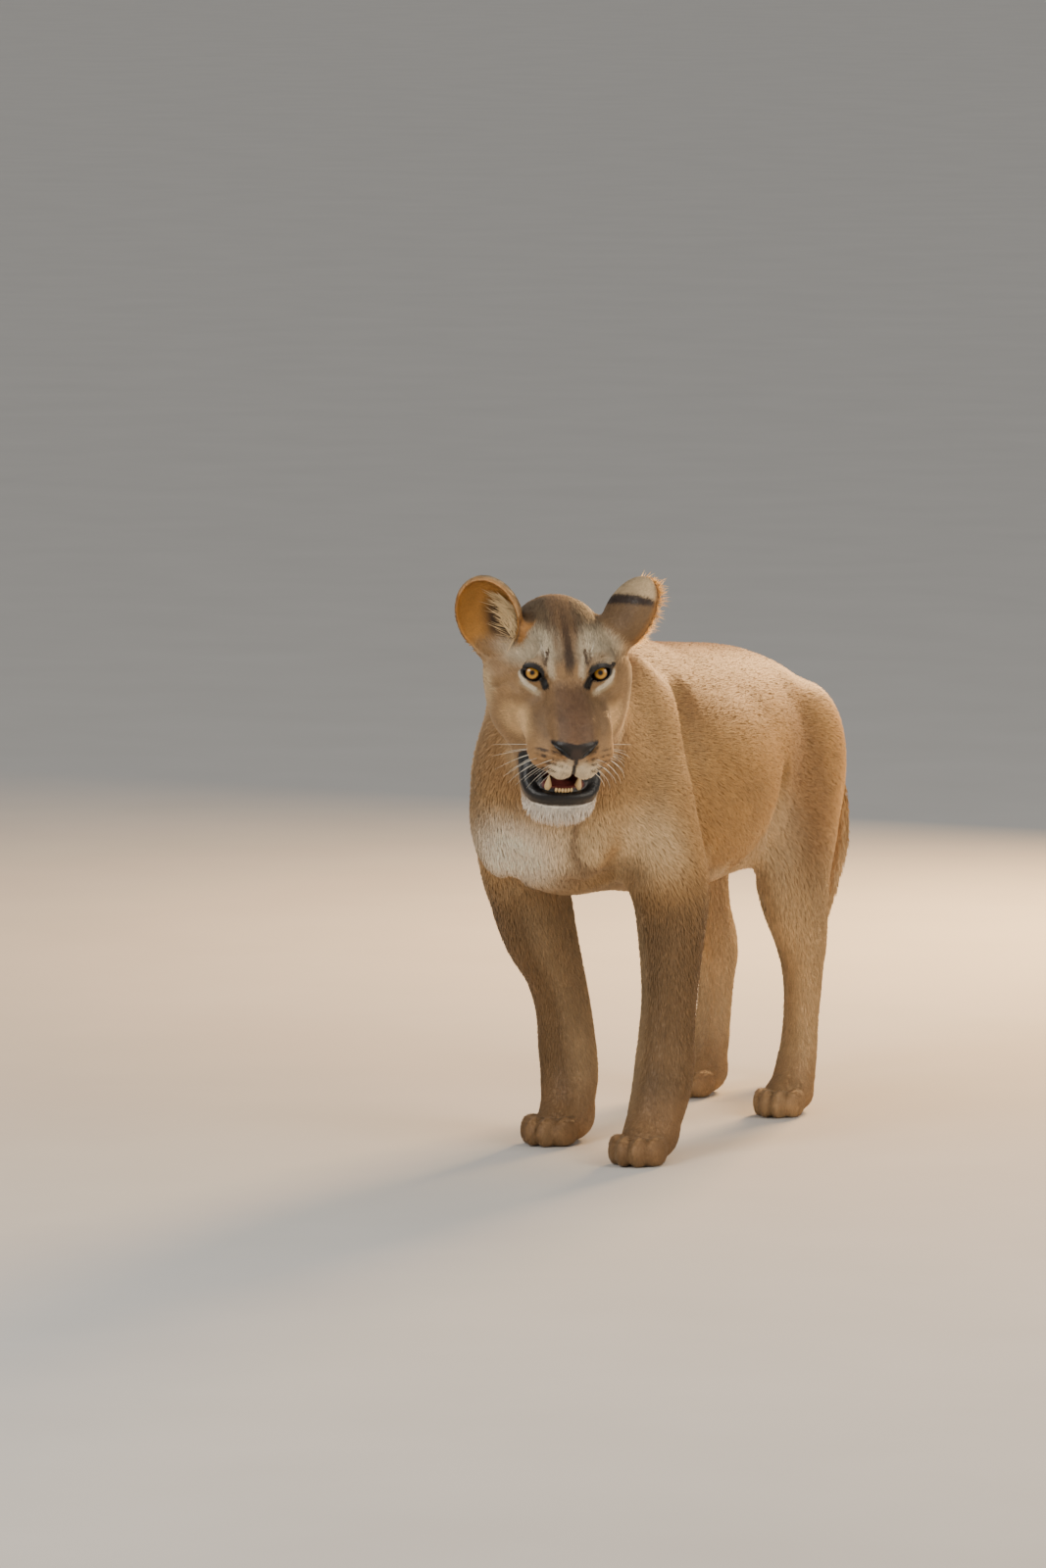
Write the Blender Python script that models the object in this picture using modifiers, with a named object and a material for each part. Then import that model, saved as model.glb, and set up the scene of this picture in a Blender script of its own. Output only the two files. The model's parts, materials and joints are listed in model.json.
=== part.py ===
"""Lioness, life size, standing: a still museum model. Metres, +Z up.

She faces -Y with her left side at +X. The body is laid out round the withers (y = 0) and the floor
(z = 0), and at the end everything moves so that the origin is under the middle of its box.
"""
import math

import bmesh
import bpy
import numpy as np
from mathutils import Matrix, Vector

# ---- driving dimensions ----
GAP = 0.0003                 # air between neighbouring pieces
BODY_VOXEL, HEAD_VOXEL = 0.011, 0.0055
BODY_KEEP, HEAD_KEEP = 3900, 1600      # triangles kept of the body and of the head
ANKLE_HEIGHT = 0.078         # where each paw is parted from its leg
EYE_RADIUS, EYE_SPACING, EYE_UP = 0.0170, 0.108, 0.004
HEAD_AT = (0.158, -0.380, 0.820)       # midpoint between the eyes
HEAD_YAW, HEAD_PITCH, HEAD_ROLL = 34.5, 28, 1.2
ASIDE = 0.004                # how far the muzzle is drawn to her left
FORE_PAW = (0.048, 0.066, 0.036)       # half width, half length, half height
HIND_PAW = (0.043, 0.062, 0.034)

TAN, BROWN, CREAM = (0.42, 0.27, 0.14, 1), (0.20, 0.13, 0.08, 1), (0.70, 0.58, 0.42, 1)
COLLECTION = "lioness"


# ---- blended forms ----
def rotation(rx=0.0, ry=0.0, rz=0.0):
    turns = [Matrix.Rotation(math.radians(a), 3, axis) for a, axis in ((rz, "Z"), (ry, "Y"), (rx, "X"))]
    return np.array(turns[0] @ turns[1] @ turns[2])


def smooth_union(a, b, k):
    h = np.clip(0.5 + 0.5 * (b - a) / k, 0.0, 1.0)
    return b + (a - b) * h - k * h * (1.0 - h)


def spline(table, per=4):
    """Catmull-Rom curve through the rows of a table."""
    t = np.asarray(table, float)
    ends = np.vstack([2 * t[0] - t[1], t, 2 * t[-1] - t[-2]])
    rows = []
    for i in range(len(t) - 1):
        a, b, c, d = ends[i:i + 4]
        for u in np.arange(per) / per:
            rows.append(0.5 * (2 * b + (c - a) * u + (2 * a - 5 * b + 4 * c - d) * u ** 2
                               + (3 * b - a - 3 * c + d) * u ** 3))
    return np.array(rows + [t[-1]])


class Blob:
    """An ellipsoid of flesh; with cut set it is hollowed out of the rest."""

    def __init__(self, at, radii, turn=(0, 0, 0), blend=0.03, cut=False):
        self.at, self.radii = np.array(at, float), np.array(radii, float)
        self.turn, self.blend, self.cut = rotation(*turn), blend, cut

    def box(self):
        reach = np.sqrt(((self.turn * self.radii) ** 2).sum(1))
        return self.at - reach, self.at + reach

    def distance(self, p):
        q = (p - self.at) @ self.turn
        k0 = np.sqrt(((q / self.radii) ** 2).sum(1))
        k1 = np.sqrt(((q / self.radii ** 2) ** 2).sum(1)) + 1e-9
        return k0 * (k0 - 1.0) / k1

    def moved(self, at, turn):
        new = Blob(at + turn @ self.at, self.radii, blend=self.blend, cut=self.cut)
        new.turn = turn @ self.turn
        return new

    def add_to(self, bm):
        made = bmesh.ops.create_uvsphere(bm, u_segments=20, v_segments=12, radius=1.0)["verts"]
        for v in made:
            v.co = self.at + self.turn @ (np.array(v.co) * self.radii)


class Limb:
    """A tube of elliptical section through rows of x, y, z, side radius, fore-and-aft radius."""

    def __init__(self, rows, lateral=(1, 0, 0), blend=0.03, cut=False):
        t = spline(rows)
        self.path, self.side, self.deep = t[:, :3], np.maximum(t[:, 3], 0.002), np.maximum(t[:, 4], 0.002)
        self.lateral = np.array(lateral, float) / np.linalg.norm(lateral)
        self.blend, self.cut = blend, cut

    def box(self):
        r = np.maximum(self.side, self.deep)[:, None]
        return (self.path - r).min(0), (self.path + r).max(0)

    def distance(self, p):
        best = np.full(len(p), 1e9)
        for i in range(len(self.path) - 1):
            a, run = self.path[i], self.path[i + 1] - self.path[i]
            t = np.clip((p - a) @ run / (run @ run), 0, 1)
            q = p - a - t[:, None] * run
            side = self.side[i] + t * (self.side[i + 1] - self.side[i])
            deep = self.deep[i] + t * (self.deep[i + 1] - self.deep[i])
            across = q @ self.lateral
            rest = np.maximum((q * q).sum(1) - across ** 2, 0)
            k0 = np.sqrt((across / side) ** 2 + rest / deep ** 2)
            k1 = np.sqrt(across ** 2 / side ** 4 + rest / deep ** 4) + 1e-9
            best = np.minimum(best, k0 * (k0 - 1.0) / k1)
        return best

    def moved(self, at, turn):
        new = Limb([(0, 0, 0, 1, 1), (1, 0, 0, 1, 1)], blend=self.blend, cut=self.cut)
        new.path, new.side, new.deep = self.path @ turn.T + at, self.side, self.deep
        new.lateral = turn @ self.lateral
        return new

    def add_to(self, bm):
        """Rings of 16 along the path, lofted; each end closes on a smaller ring one radius further on."""
        along = np.gradient(self.path, axis=0)
        along /= np.linalg.norm(along, axis=1)[:, None]
        stations = [(self.path[i], along[i], self.side[i], self.deep[i]) for i in range(len(self.path))]
        first, last = stations[0], stations[-1]
        stations = ([(first[0] - first[1] * first[3] * 0.7, first[1], first[2] * 0.6, first[3] * 0.6)] + stations
                    + [(last[0] + last[1] * last[3] * 0.7, last[1], last[2] * 0.6, last[3] * 0.6)])
        rings = []
        for at, way, side, deep in stations:
            x = self.lateral - way * (self.lateral @ way)
            x /= np.linalg.norm(x)
            y = np.cross(way, x)
            angles = np.arange(16) * math.tau / 16
            rings.append([bm.verts.new(at + x * side * math.cos(a) + y * deep * math.sin(a)) for a in angles])
        for one, two in zip(rings, rings[1:]):
            for k in range(16):
                bm.faces.new((one[k], one[(k + 1) % 16], two[(k + 1) % 16], two[k]))
        bm.faces.new(rings[0][::-1])
        bm.faces.new(rings[-1])


def depth(forms, p):
    """Signed distance, about, from the points to the surface of the blended forms."""
    d = np.full(len(p), 0.5)
    for f in forms:
        lo, hi = f.box()
        near = ((p > lo - f.blend - 0.02) & (p < hi + f.blend + 0.02)).all(1)
        if near.any():
            v = f.distance(p[near])
            d[near] = -smooth_union(-d[near], v, f.blend) if f.cut else smooth_union(d[near], v, f.blend)
    return d


# ---- the animal ----
def paw(at, size, yaw=0):
    """A pad with four toes, 3 mm into the floor so that it stands on flats; at is the middle of the sole."""
    turn, at = rotation(rz=yaw), np.array(at, float)
    wide, long, high = size
    forms = [Blob(at + turn @ np.array((0, 0.012, high - .003)), (wide * .92, long * .80, high), (0, 0, yaw), .02)]
    for side, ahead in ((-.70, -.62), (-.26, -.92), (.26, -.92), (.70, -.62)):
        toe = at + turn @ np.array((side * wide, ahead * long, high * .72 - .003))
        forms.append(Blob(toe, (wide * .30, long * .42, high * .72), (12, 0, yaw - side * 14), .010))
    return forms


def trunk():
    forms = [Limb([
        (0, -.205, .615, .030, .040),
        (0, -.165, .618, .093, .105),
        (0, -.095, .622, .117, .165),
        (0, .000, .622, .135, .200),
        (0, .120, .615, .155, .203),
        (0, .250, .600, .164, .206),
        (0, .370, .590, .166, .204),
        (0, .470, .592, .154, .192),
        (0, .560, .604, .132, .165),
        (0, .650, .607, .110, .134),
        (0, .725, .598, .094, .113),
        (0, .775, .592, .076, .088),
        (0, .800, .590, .052, .056)], blend=.02)]
    for s in (1, -1):
        forms += [
            Blob((s * .088, .010, .680), (.048, .088, .148), (28, s * 8, 0), .05),      # shoulder blade
            Blob((s * .099, -.082, .600), (.043, .055, .085), (0, 0, 0), .05),          # point of the shoulder
            Blob((s * .120, .060, .560), (.042, .078, .100), (-25, 0, 0), .045),        # upper arm
            Blob((s * .056, -.140, .545), (.062, .064, .092), (0, 0, s * 10), .035),    # breast
            Blob((s * .050, .630, .674), (.056, .085, .046), (-16, s * 12, 0), .04),    # hip
            Blob((s * .084, .688, .570), (.050, .103, .124), (-8, 0, 0), .04),          # thigh
            Blob((s * .108, .250, .560), (.058, .160, .130), (0, 0, 0), .06),           # ribs
            Blob((s * .085, .500, .490), (.046, .085, .056), (20, 0, 0), .05),          # fold of the flank
        ]
    forms += [Blob((0, .07, .765), (.055, .150, .056), (3, 0, 0), .05),                 # withers
              Blob((0, -.06, .490), (.075, .10, .055), (0, 0, 0), .04)]                 # brisket
    return forms


def forelegs():
    return [
        Limb([
            (.120, .005, .560, .058, .092),
            (.130, .040, .480, .061, .090),
            (.135, .058, .420, .059, .080),
            (.137, .056, .350, .052, .067),
            (.139, .045, .260, .045, .053),
            (.138, .037, .195, .046, .050),
            (.138, .030, .150, .049, .051),
            (.138, .015, .105, .048, .049),
            (.138, -.012, .060, .045, .042)], blend=.035),
        Blob((.136, .108, .455), (.026, .030, .045), (0, 0, 0), .03),                   # elbow
        Limb([
            (-.120, .005, .560, .060, .092),
            (-.131, .048, .480, .064, .090),
            (-.132, .080, .420, .064, .083),
            (-.124, .102, .350, .059, .073),
            (-.109, .128, .280, .048, .057),
            (-.099, .143, .215, .045, .051),
            (-.093, .147, .150, .048, .051),
            (-.087, .143, .105, .048, .049),
            (-.080, .123, .060, .045, .042)], blend=.035),
        Blob((-.132, .128, .455), (.026, .030, .045), (0, 0, 0), .03),
    ] + paw((.140, -.045, 0), FORE_PAW, 4) + paw((-.076, .090, 0), FORE_PAW, -6)


def hindlegs():
    return [
        Limb([
            (.080, .700, .610, .046, .070),
            (.088, .675, .560, .050, .122),
            (.103, .618, .480, .054, .124),
            (.112, .584, .420, .051, .113),
            (.117, .580, .375, .047, .098),
            (.120, .588, .330, .041, .080),
            (.121, .598, .285, .037, .064),
            (.121, .603, .250, .034, .052),
            (.121, .604, .205, .031, .042),
            (.121, .598, .155, .030, .035),
            (.121, .588, .105, .032, .033),
            (.121, .574, .065, .035, .034)], blend=.03),
        Limb([(.121, .632, .345, .012, .012), (.121, .655, .305, .017, .019),
              (.121, .650, .262, .017, .020)], blend=.02),                              # point of the hock
        Limb([
            (-.080, .705, .610, .046, .070),
            (-.088, .705, .560, .050, .122),
            (-.101, .674, .480, .054, .123),
            (-.110, .672, .410, .051, .106),
            (-.112, .690, .355, .045, .082),
            (-.111, .720, .305, .038, .062),
            (-.110, .748, .262, .034, .050),
            (-.109, .760, .225, .033, .046),
            (-.108, .756, .180, .030, .037),
            (-.107, .744, .130, .030, .033),
            (-.106, .728, .085, .033, .033),
            (-.105, .712, .055, .035, .034)], blend=.03),
        Limb([(-.111, .772, .300, .012, .012), (-.110, .800, .262, .017, .019),
              (-.109, .796, .222, .017, .020)], blend=.02),
    ] + paw((.121, .540, 0), HIND_PAW, 3) + paw((-.105, .680, 0), HIND_PAW, -4)


def tail():
    return [Limb([
        (0, .765, .640, .036, .040),
        (.004, .832, .626, .030, .032),
        (.022, .895, .575, .0215, .0225),
        (.042, .922, .490, .0175, .0175),
        (.048, .920, .410, .016, .016),
        (.036, .905, .330, .0145, .0145),
        (.012, .890, .245, .0135, .0135),
        (-.006, .890, .185, .015, .015),
        (-.016, .894, .135, .020, .020),
        (-.020, .894, .085, .016, .016),
        (-.022, .890, .052, .005, .005)], blend=.02)]


def neck():
    return [Limb([
        (.000, .060, .655, .118, .150),
        (.012, -.050, .672, .116, .150),
        (.045, -.140, .700, .106, .138),
        (.080, -.205, .735, .096, .122),
        (.105, -.262, .765, .088, .104),
        (.120, -.300, .785, .078, .084)], lateral=(.951, .309, 0), blend=.05)]


def head():
    """Laid out round the midpoint of the eyes, with the muzzle towards -Y and the palate level."""
    forms = [
        Blob((0, .080, -.006), (.084, .100, .062), blend=.03),          # braincase
        Blob((0, .024, .012), (.066, .062, .038), blend=.03),           # forehead
        Blob((0, .100, .004), (.050, .070, .044), blend=.04),           # crest
        Limb([(0, .010, .000, .036, .028), (0, -.045, -.018, .034, .027),
              (ASIDE, -.095, -.036, .037, .025), (ASIDE, -.118, -.046, .032, .018)], blend=.02),      # nose bridge
        Limb([(0, .020, -.062, .068, .055), (0, -.040, -.068, .059, .048),
              (ASIDE, -.085, -.074, .051, .038), (ASIDE, -.105, -.079, .041, .029)], blend=.022),     # muzzle
        Blob((ASIDE, -.126, -.056), (.030, .014, .016), (-20, 0, 0), .010)]                 # nose pad
    for s in (1, -1):
        forms += [
            Blob((s * .055, -.031, EYE_UP), (.023, .021, .0135), (0, s * 6, 0), .007, True),          # socket
            Blob((s * .070, .052, -.045), (.047, .078, .060), (0, 0, s * -8), .035),        # cheek
            Blob((s * .060, .052, -.102), (.043, .066, .050), (0, 0, 0), .035),             # jaw muscle
            Blob((s * .052, -.004, -.031), (.030, .022, .017), (0, 0, s * -10), .020),      # cheekbone
            Blob((s * .047, .004, .024), (.030, .021, .012), (0, s * 10, 0), .020),         # brow
            Blob((s * .037, -.050, -.068), (.029, .046, .036), (0, 0, s * 6), .02),         # side of the muzzle
            Blob((s * .046, -.004, -.128), (.015, .036, .040), (0, 0, s * -8), .02),        # corner of the mouth
            Limb([(s * .055, .055, -.112, .024, .034), (s * .047, -.005, -.150, .021, .030),
                  (s * .039, -.056, -.182, .022, .028), (s * .016, -.072, -.190, .022, .026)], blend=.02)]
    forms += [Blob((0, -.063, -.205), (.052, .032, .031), (0, 0, 0), .02),                  # chin
              Blob((0, .020, -.172), (.038, .070, .024), (24, 0, 0), .03),                  # throat
              Limb([(0, -.130, -.130, .036, .013), (0, -.088, -.134, .037, .024),
                    (0, -.054, -.134, .030, .018), (0, -.030, -.130, .018, .010)], blend=.010, cut=True)]
    for s in (1, -1):
        forms += [Blob((s * .032 + ASIDE, -.094, -.084), (.035, .038, .029), (0, s * -8, s * 12), .014),   # whisker pad
                  Blob((s * .018 + ASIDE, -.118, -.098), (.021, .022, .0195), (0, 0, s * 10), .010)]       # front of the lip
    return forms


def ear(at, lean, nod, yaw, size=1.0):
    """A cup whose opening looks along its own -Y; at is its middle."""
    turn = rotation(ry=lean) @ rotation(rx=nod) @ rotation(rz=yaw)
    cup = [((0, .002, .000), (.053, .034, .074), .016, False), ((0, .012, -.056), (.033, .028, .034), .020, False),
           ((0, -.014, .005), (.046, .036, .066), .004, True), ((0, -.052, .004), (.090, .046, .090), .004, True)]
    return [Blob(np.array(c) * size, np.array(r) * size, blend=k, cut=cut).moved(np.array(at, float), turn)
            for c, r, k, cut in cup]


def placed(forms):
    turn = rotation(rz=HEAD_YAW) @ rotation(rx=HEAD_PITCH) @ rotation(ry=HEAD_ROLL)
    return [f.moved(np.array(HEAD_AT), turn) for f in forms]


def in_head(point):
    turn = rotation(rz=HEAD_YAW) @ rotation(rx=HEAD_PITCH) @ rotation(ry=HEAD_ROLL)
    return Vector(np.array(HEAD_AT) + turn @ np.array(point, float))


# ---- solids from forms ----
def link(mesh, name, guide=False):
    obj = bpy.data.objects.new(name, mesh)
    bpy.data.collections["cutters" if guide else COLLECTION].objects.link(obj)
    if guide:
        obj.hide_render, obj.display_type = True, "WIRE"
    return obj


def mesh_from(bm, name):
    bmesh.ops.recalc_face_normals(bm, faces=bm.faces)
    mesh = bpy.data.meshes.new(name)
    bm.to_mesh(mesh)
    bm.free()
    return mesh


def baked(obj):
    """Puts the modifiers into the object's own mesh."""
    bpy.context.view_layer.update()
    mesh = bpy.data.meshes.new_from_object(obj.evaluated_get(bpy.context.evaluated_depsgraph_get()))
    obj.modifiers.clear()
    obj.data = mesh
    return obj


def vertices(mesh):
    points = np.empty(len(mesh.vertices) * 3, np.float32)
    mesh.vertices.foreach_get("co", points)
    return points.reshape(-1, 3).astype(float)


def settle(mesh, forms, reach):
    """Slides the vertices on to the blended surface of the forms, evening them out between the passes."""
    points = vertices(mesh)
    edges = np.array([e.vertices[:] for e in mesh.edges])
    counts = np.bincount(edges.ravel(), minlength=len(points))[:, None]
    for again in range(6):
        if again in (1, 2, 4):
            total = np.zeros_like(points)
            np.add.at(total, edges[:, 0], points[edges[:, 1]])
            np.add.at(total, edges[:, 1], points[edges[:, 0]])
            points = 0.5 * points + 0.5 * total / counts
        level = depth(forms, points)
        slope = np.stack([depth(forms, points + step) - level for step in np.eye(3) * 0.0005], 1) / 0.0005
        size = np.maximum((slope ** 2).sum(1), 0.2)
        points -= np.clip(level / size, -reach, reach)[:, None] * slope
    mesh.vertices.foreach_set("co", points.astype(np.float32).ravel())
    mesh.update()


def flesh(name, forms, all_forms, voxel, keep, cell=None):
    """One closed surface round the forms, thinned to about keep triangles.

    With a cell, only what lies in a wider copy of it is kept, and the surface still follows all the forms.
    """
    bm = bmesh.new()
    for form in forms:
        if not form.cut:
            form.add_to(bm)
    obj = link(mesh_from(bm, name), name)
    remesh = obj.modifiers.new("one_surface", "REMESH")
    remesh.mode, remesh.voxel_size = "VOXEL", voxel
    baked(obj)
    if cell:
        combine(obj, hull(name + "_wide", cell, 1.12), "INTERSECT")
    settle(obj.data, all_forms, voxel)
    thin = obj.modifiers.new("thin", "DECIMATE")
    thin.ratio = min(1.0, keep / sum(len(p.vertices) - 2 for p in obj.data.polygons))
    return baked(obj)


def trim(obj, at, normal):
    """Cuts off what lies on the normal's side of a plane and closes the cut."""
    bm = bmesh.new()
    bm.from_mesh(obj.data)
    bmesh.ops.bisect_plane(bm, geom=bm.verts[:] + bm.edges[:] + bm.faces[:], dist=1e-6,
                           plane_co=Vector(at), plane_no=Vector(normal), clear_outer=True)
    bmesh.ops.holes_fill(bm, edges=[e for e in bm.edges if e.is_boundary])
    bmesh.ops.triangulate(bm, faces=bm.faces)
    obj.data = mesh_from(bm, obj.name)
    return obj


def whole_only(obj):
    """Drops the crumbs that a cut leaves, keeping the largest body."""
    bm = bmesh.new()
    bm.from_mesh(obj.data)
    left, islands = set(bm.verts), []
    while left:
        island, front = set(), [left.pop()]
        while front:
            vert = front.pop()
            island.add(vert)
            for edge in vert.link_edges:
                other = edge.other_vert(vert)
                if other in left:
                    left.discard(other)
                    front.append(other)
        islands.append(island)
    islands.sort(key=len)
    bmesh.ops.delete(bm, geom=[v for island in islands[:-1] for v in island], context="VERTS")
    obj.data = mesh_from(bm, obj.name)
    return obj


def copied(obj, name, guide=False):
    return link(obj.data.copy(), name, guide)


def parted(obj, name, at, normal):
    """Splits the object at a plane, a gap apart; the piece on the normal's side takes the name."""
    normal = Vector(normal).normalized()
    piece = trim(copied(obj, name), Vector(at) + normal * GAP / 2, -normal)
    trim(obj, Vector(at) - normal * GAP / 2, normal)
    return piece


def combine(obj, other, how):
    boolean = obj.modifiers.new(how.lower(), "BOOLEAN")
    boolean.operation, boolean.object, boolean.solver = how, other, "EXACT"
    baked(obj)
    bm = bmesh.new()
    bm.from_mesh(obj.data)
    bmesh.ops.remove_doubles(bm, verts=bm.verts, dist=0.00003)
    bmesh.ops.dissolve_degenerate(bm, dist=0.00002, edges=bm.edges)
    bmesh.ops.holes_fill(bm, edges=[e for e in bm.edges if e.is_boundary])
    obj.data = mesh_from(bm, obj.name)
    return obj


def hull(name, points, grown=1.0):
    """A convex cutter round the points, grown about their middle."""
    middle = sum((Vector(p) for p in points), Vector()) / len(points)
    bm = bmesh.new()
    for p in points:
        bm.verts.new(middle + (Vector(p) - middle) * grown)
    bmesh.ops.convex_hull(bm, input=bm.verts)
    return link(mesh_from(bm, name), name, guide=True)


def taken(obj, name, points):
    """The piece of the object inside a convex cell; the object keeps the rest, a gap away."""
    piece = combine(copied(obj, name), hull(name + "_cell", points), "INTERSECT")
    combine(obj, hull(name + "_cell_gap", points, 1.003), "DIFFERENCE")
    return piece


def swollen(obj, by):
    """A guide copy of the object, larger by a little all round."""
    guide = copied(obj, obj.name + "_swollen", guide=True)
    grow = guide.modifiers.new("grow", "DISPLACE")
    grow.strength, grow.mid_level = by, 0.0
    return baked(guide)


def ball(name, at, radii, turn=None, guide=False, segments=14):
    bm = bmesh.new()
    bmesh.ops.create_uvsphere(bm, u_segments=segments, v_segments=segments // 2 + 1, radius=1.0)
    turn = np.eye(3) if turn is None else turn
    for v in bm.verts:
        v.co = np.array(at) + turn @ (np.array(v.co) * radii)
    return link(mesh_from(bm, name), name, guide)


# ---- build ----
def start():
    for obj in list(bpy.data.objects):
        bpy.data.objects.remove(obj)
    for name in (COLLECTION, "cutters"):
        bpy.context.scene.collection.children.link(bpy.data.collections.new(name))


def leg_cell(side, fore):
    """Corners of the convex cell that takes a leg off the trunk along a plane from the armpit or groin."""
    if fore:
        outline = ((.004, -.05, -.17, .27), (.016, .432, -.15, .19), (.150, .600, -.125, .140),
                   (.300, .600, -.125, .140), (.300, -.05, -.17, .27))
    else:
        outline = ((.004, -.05, .40, .848), (.010, .420, .44, .848), (.112, .640, .56, .848),
                   (.300, .640, .56, .848), (.300, -.05, .40, .848))
    return [(side * x, y, z) for x, z, y0, y1 in outline for y in (y0, y1)]


start()
head_forms = placed(head())
head_turn = rotation(rz=HEAD_YAW) @ rotation(rx=HEAD_PITCH) @ rotation(ry=HEAD_ROLL)
head_outline = ((.128, .20), (.128, -.02), (.112, -.13), (.030, -.245), (-.22, -.28), (-.22, .20))
head_cell = [in_head((x, y, z)) for y, z in head_outline for x in (-.20, .20)]
neck_root = (Vector((.035, -.14, .735)), Vector((.25, -.60, .76)).normalized())

whole = trunk() + forelegs() + hindlegs() + tail() + neck() + head_forms
rough = [f for f in whole if f not in head_forms] + head_forms[:3]
body = flesh("trunk", rough, rough, BODY_VOXEL, BODY_KEEP)
combine(body, hull("head_cell_gap", head_cell, 1.002), "DIFFERENCE")
trim(body, (0, 0, 0), (0, 0, -1))
nodes = {"trunk": body}
nodes["tail"] = parted(body, "tail", (0, .866, 0), (0, 1, 0))
for fore in (True, False):
    for side, word in ((1, "left"), (-1, "right")):
        name = ("foreleg_" if fore else "hindleg_") + word
        leg = nodes[name] = taken(body, name, leg_cell(side, fore))
        foot = ("forepaw_" if fore else "hindpaw_") + word
        nodes[foot] = parted(leg, foot, (0, 0, ANKLE_HEIGHT), (0, 0, -1))
nodes["neck"] = parted(body, "neck", *neck_root)

face = nodes["head"] = flesh("head", head_forms + neck(), whole, HEAD_VOXEL, HEAD_KEEP, head_cell)
combine(face, hull("head_cell", head_cell), "INTERSECT")
jaw_outline = ((-.16, -.30), (-.16, -.132), (.0, -.114), (.078, -.19), (.06, -.30))
jaw = nodes["lower_jaw"] = taken(face, "lower_jaw", [in_head((x, y, z)) for y, z in jaw_outline for x in (-.13, .13)])

for side, word in ((1, "left"), (-1, "right")):
    middle = in_head((side * EYE_SPACING / 2, -.008, EYE_UP))
    combine(face, ball("socket_" + word, middle, [EYE_RADIUS + 1.2 * GAP] * 3, guide=True, segments=12), "DIFFERENCE")
    nodes["eye_" + word] = ball("eye_" + word, middle, [EYE_RADIUS] * 3, segments=12)

ears = {"right": ear((-.114, .086, .046), -15, 0, -20, 1.03), "left": ear((.112, .098, .044), 32, -22, 110, .88)}
around = [swollen(face, GAP), swollen(nodes["neck"], GAP)]
for word, cup in ears.items():
    outer, base, hollow, front = placed(cup)
    shell = ball("ear_" + word, outer.at, outer.radii, outer.turn, segments=16)
    combine(shell, ball("ear_base_" + word, base.at, base.radii, base.turn, True, 10), "UNION")
    for k, form in enumerate((hollow, front)):
        combine(shell, ball(f"ear_hollow_{word}_{k}", form.at, form.radii, form.turn, True, 14), "DIFFERENCE")
    for flesh_near in around:
        combine(shell, flesh_near, "DIFFERENCE")
    nodes["ear_" + word] = shell

for side in (1, -1):
    bm = bmesh.new()
    bmesh.ops.create_cone(bm, cap_ends=True, segments=10, radius1=.0075, radius2=.0015, depth=.036)
    tip = Matrix.Translation(in_head((side * .023, -.080, -.162)))
    bmesh.ops.transform(bm, matrix=tip @ Matrix(head_turn).to_4x4() @ Matrix.Rotation(side * .12, 4, "Y"), verts=bm.verts)
    combine(jaw, link(mesh_from(bm, "canine"), f"canine_{side + 1}", guide=True), "UNION")
around_jaw = swollen(jaw, GAP)
nodes["tongue"] = combine(ball("tongue", in_head((0, -.040, -.142)), (.022, .046, .008), head_turn, segments=10), around_jaw, "DIFFERENCE")
combine(nodes["tongue"], around[0], "DIFFERENCE")

for obj in nodes.values():
    whole_only(obj)
box = np.concatenate([vertices(obj.data) for obj in nodes.values()])
shift = Vector(((box[:, 0].min() + box[:, 0].max()) / 2, (box[:, 1].min() + box[:, 1].max()) / 2, box[:, 2].min()))
looks = {"eye": ("amber", (.55, .33, .06, 1), .12), "tongue": ("tongue_pink", (.62, .30, .28, 1), .4),
         "lower": ("jaw_cream", CREAM, .8), "ear": ("ear_brown", BROWN, .8)}
for name, obj in nodes.items():
    obj.data.transform(Matrix.Translation(-shift))
    obj.data.shade_smooth()
    label, colour, rough = looks.get(name.split("_")[0], ("coat", TAN, .8))
    coat = bpy.data.materials.new(name + "_" + label)
    coat.use_nodes = True
    coat.diffuse_color = colour
    shader = coat.node_tree.nodes["Principled BSDF"]
    shader.inputs["Base Color"].default_value = colour
    shader.inputs["Roughness"].default_value = rough
    shader.inputs["Metallic"].default_value = 0.0
    obj.data.materials.clear()
    obj.data.materials.append(coat)
for guide in list(bpy.data.collections["cutters"].objects):
    bpy.data.objects.remove(guide)
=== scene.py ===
import json
import math

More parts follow.
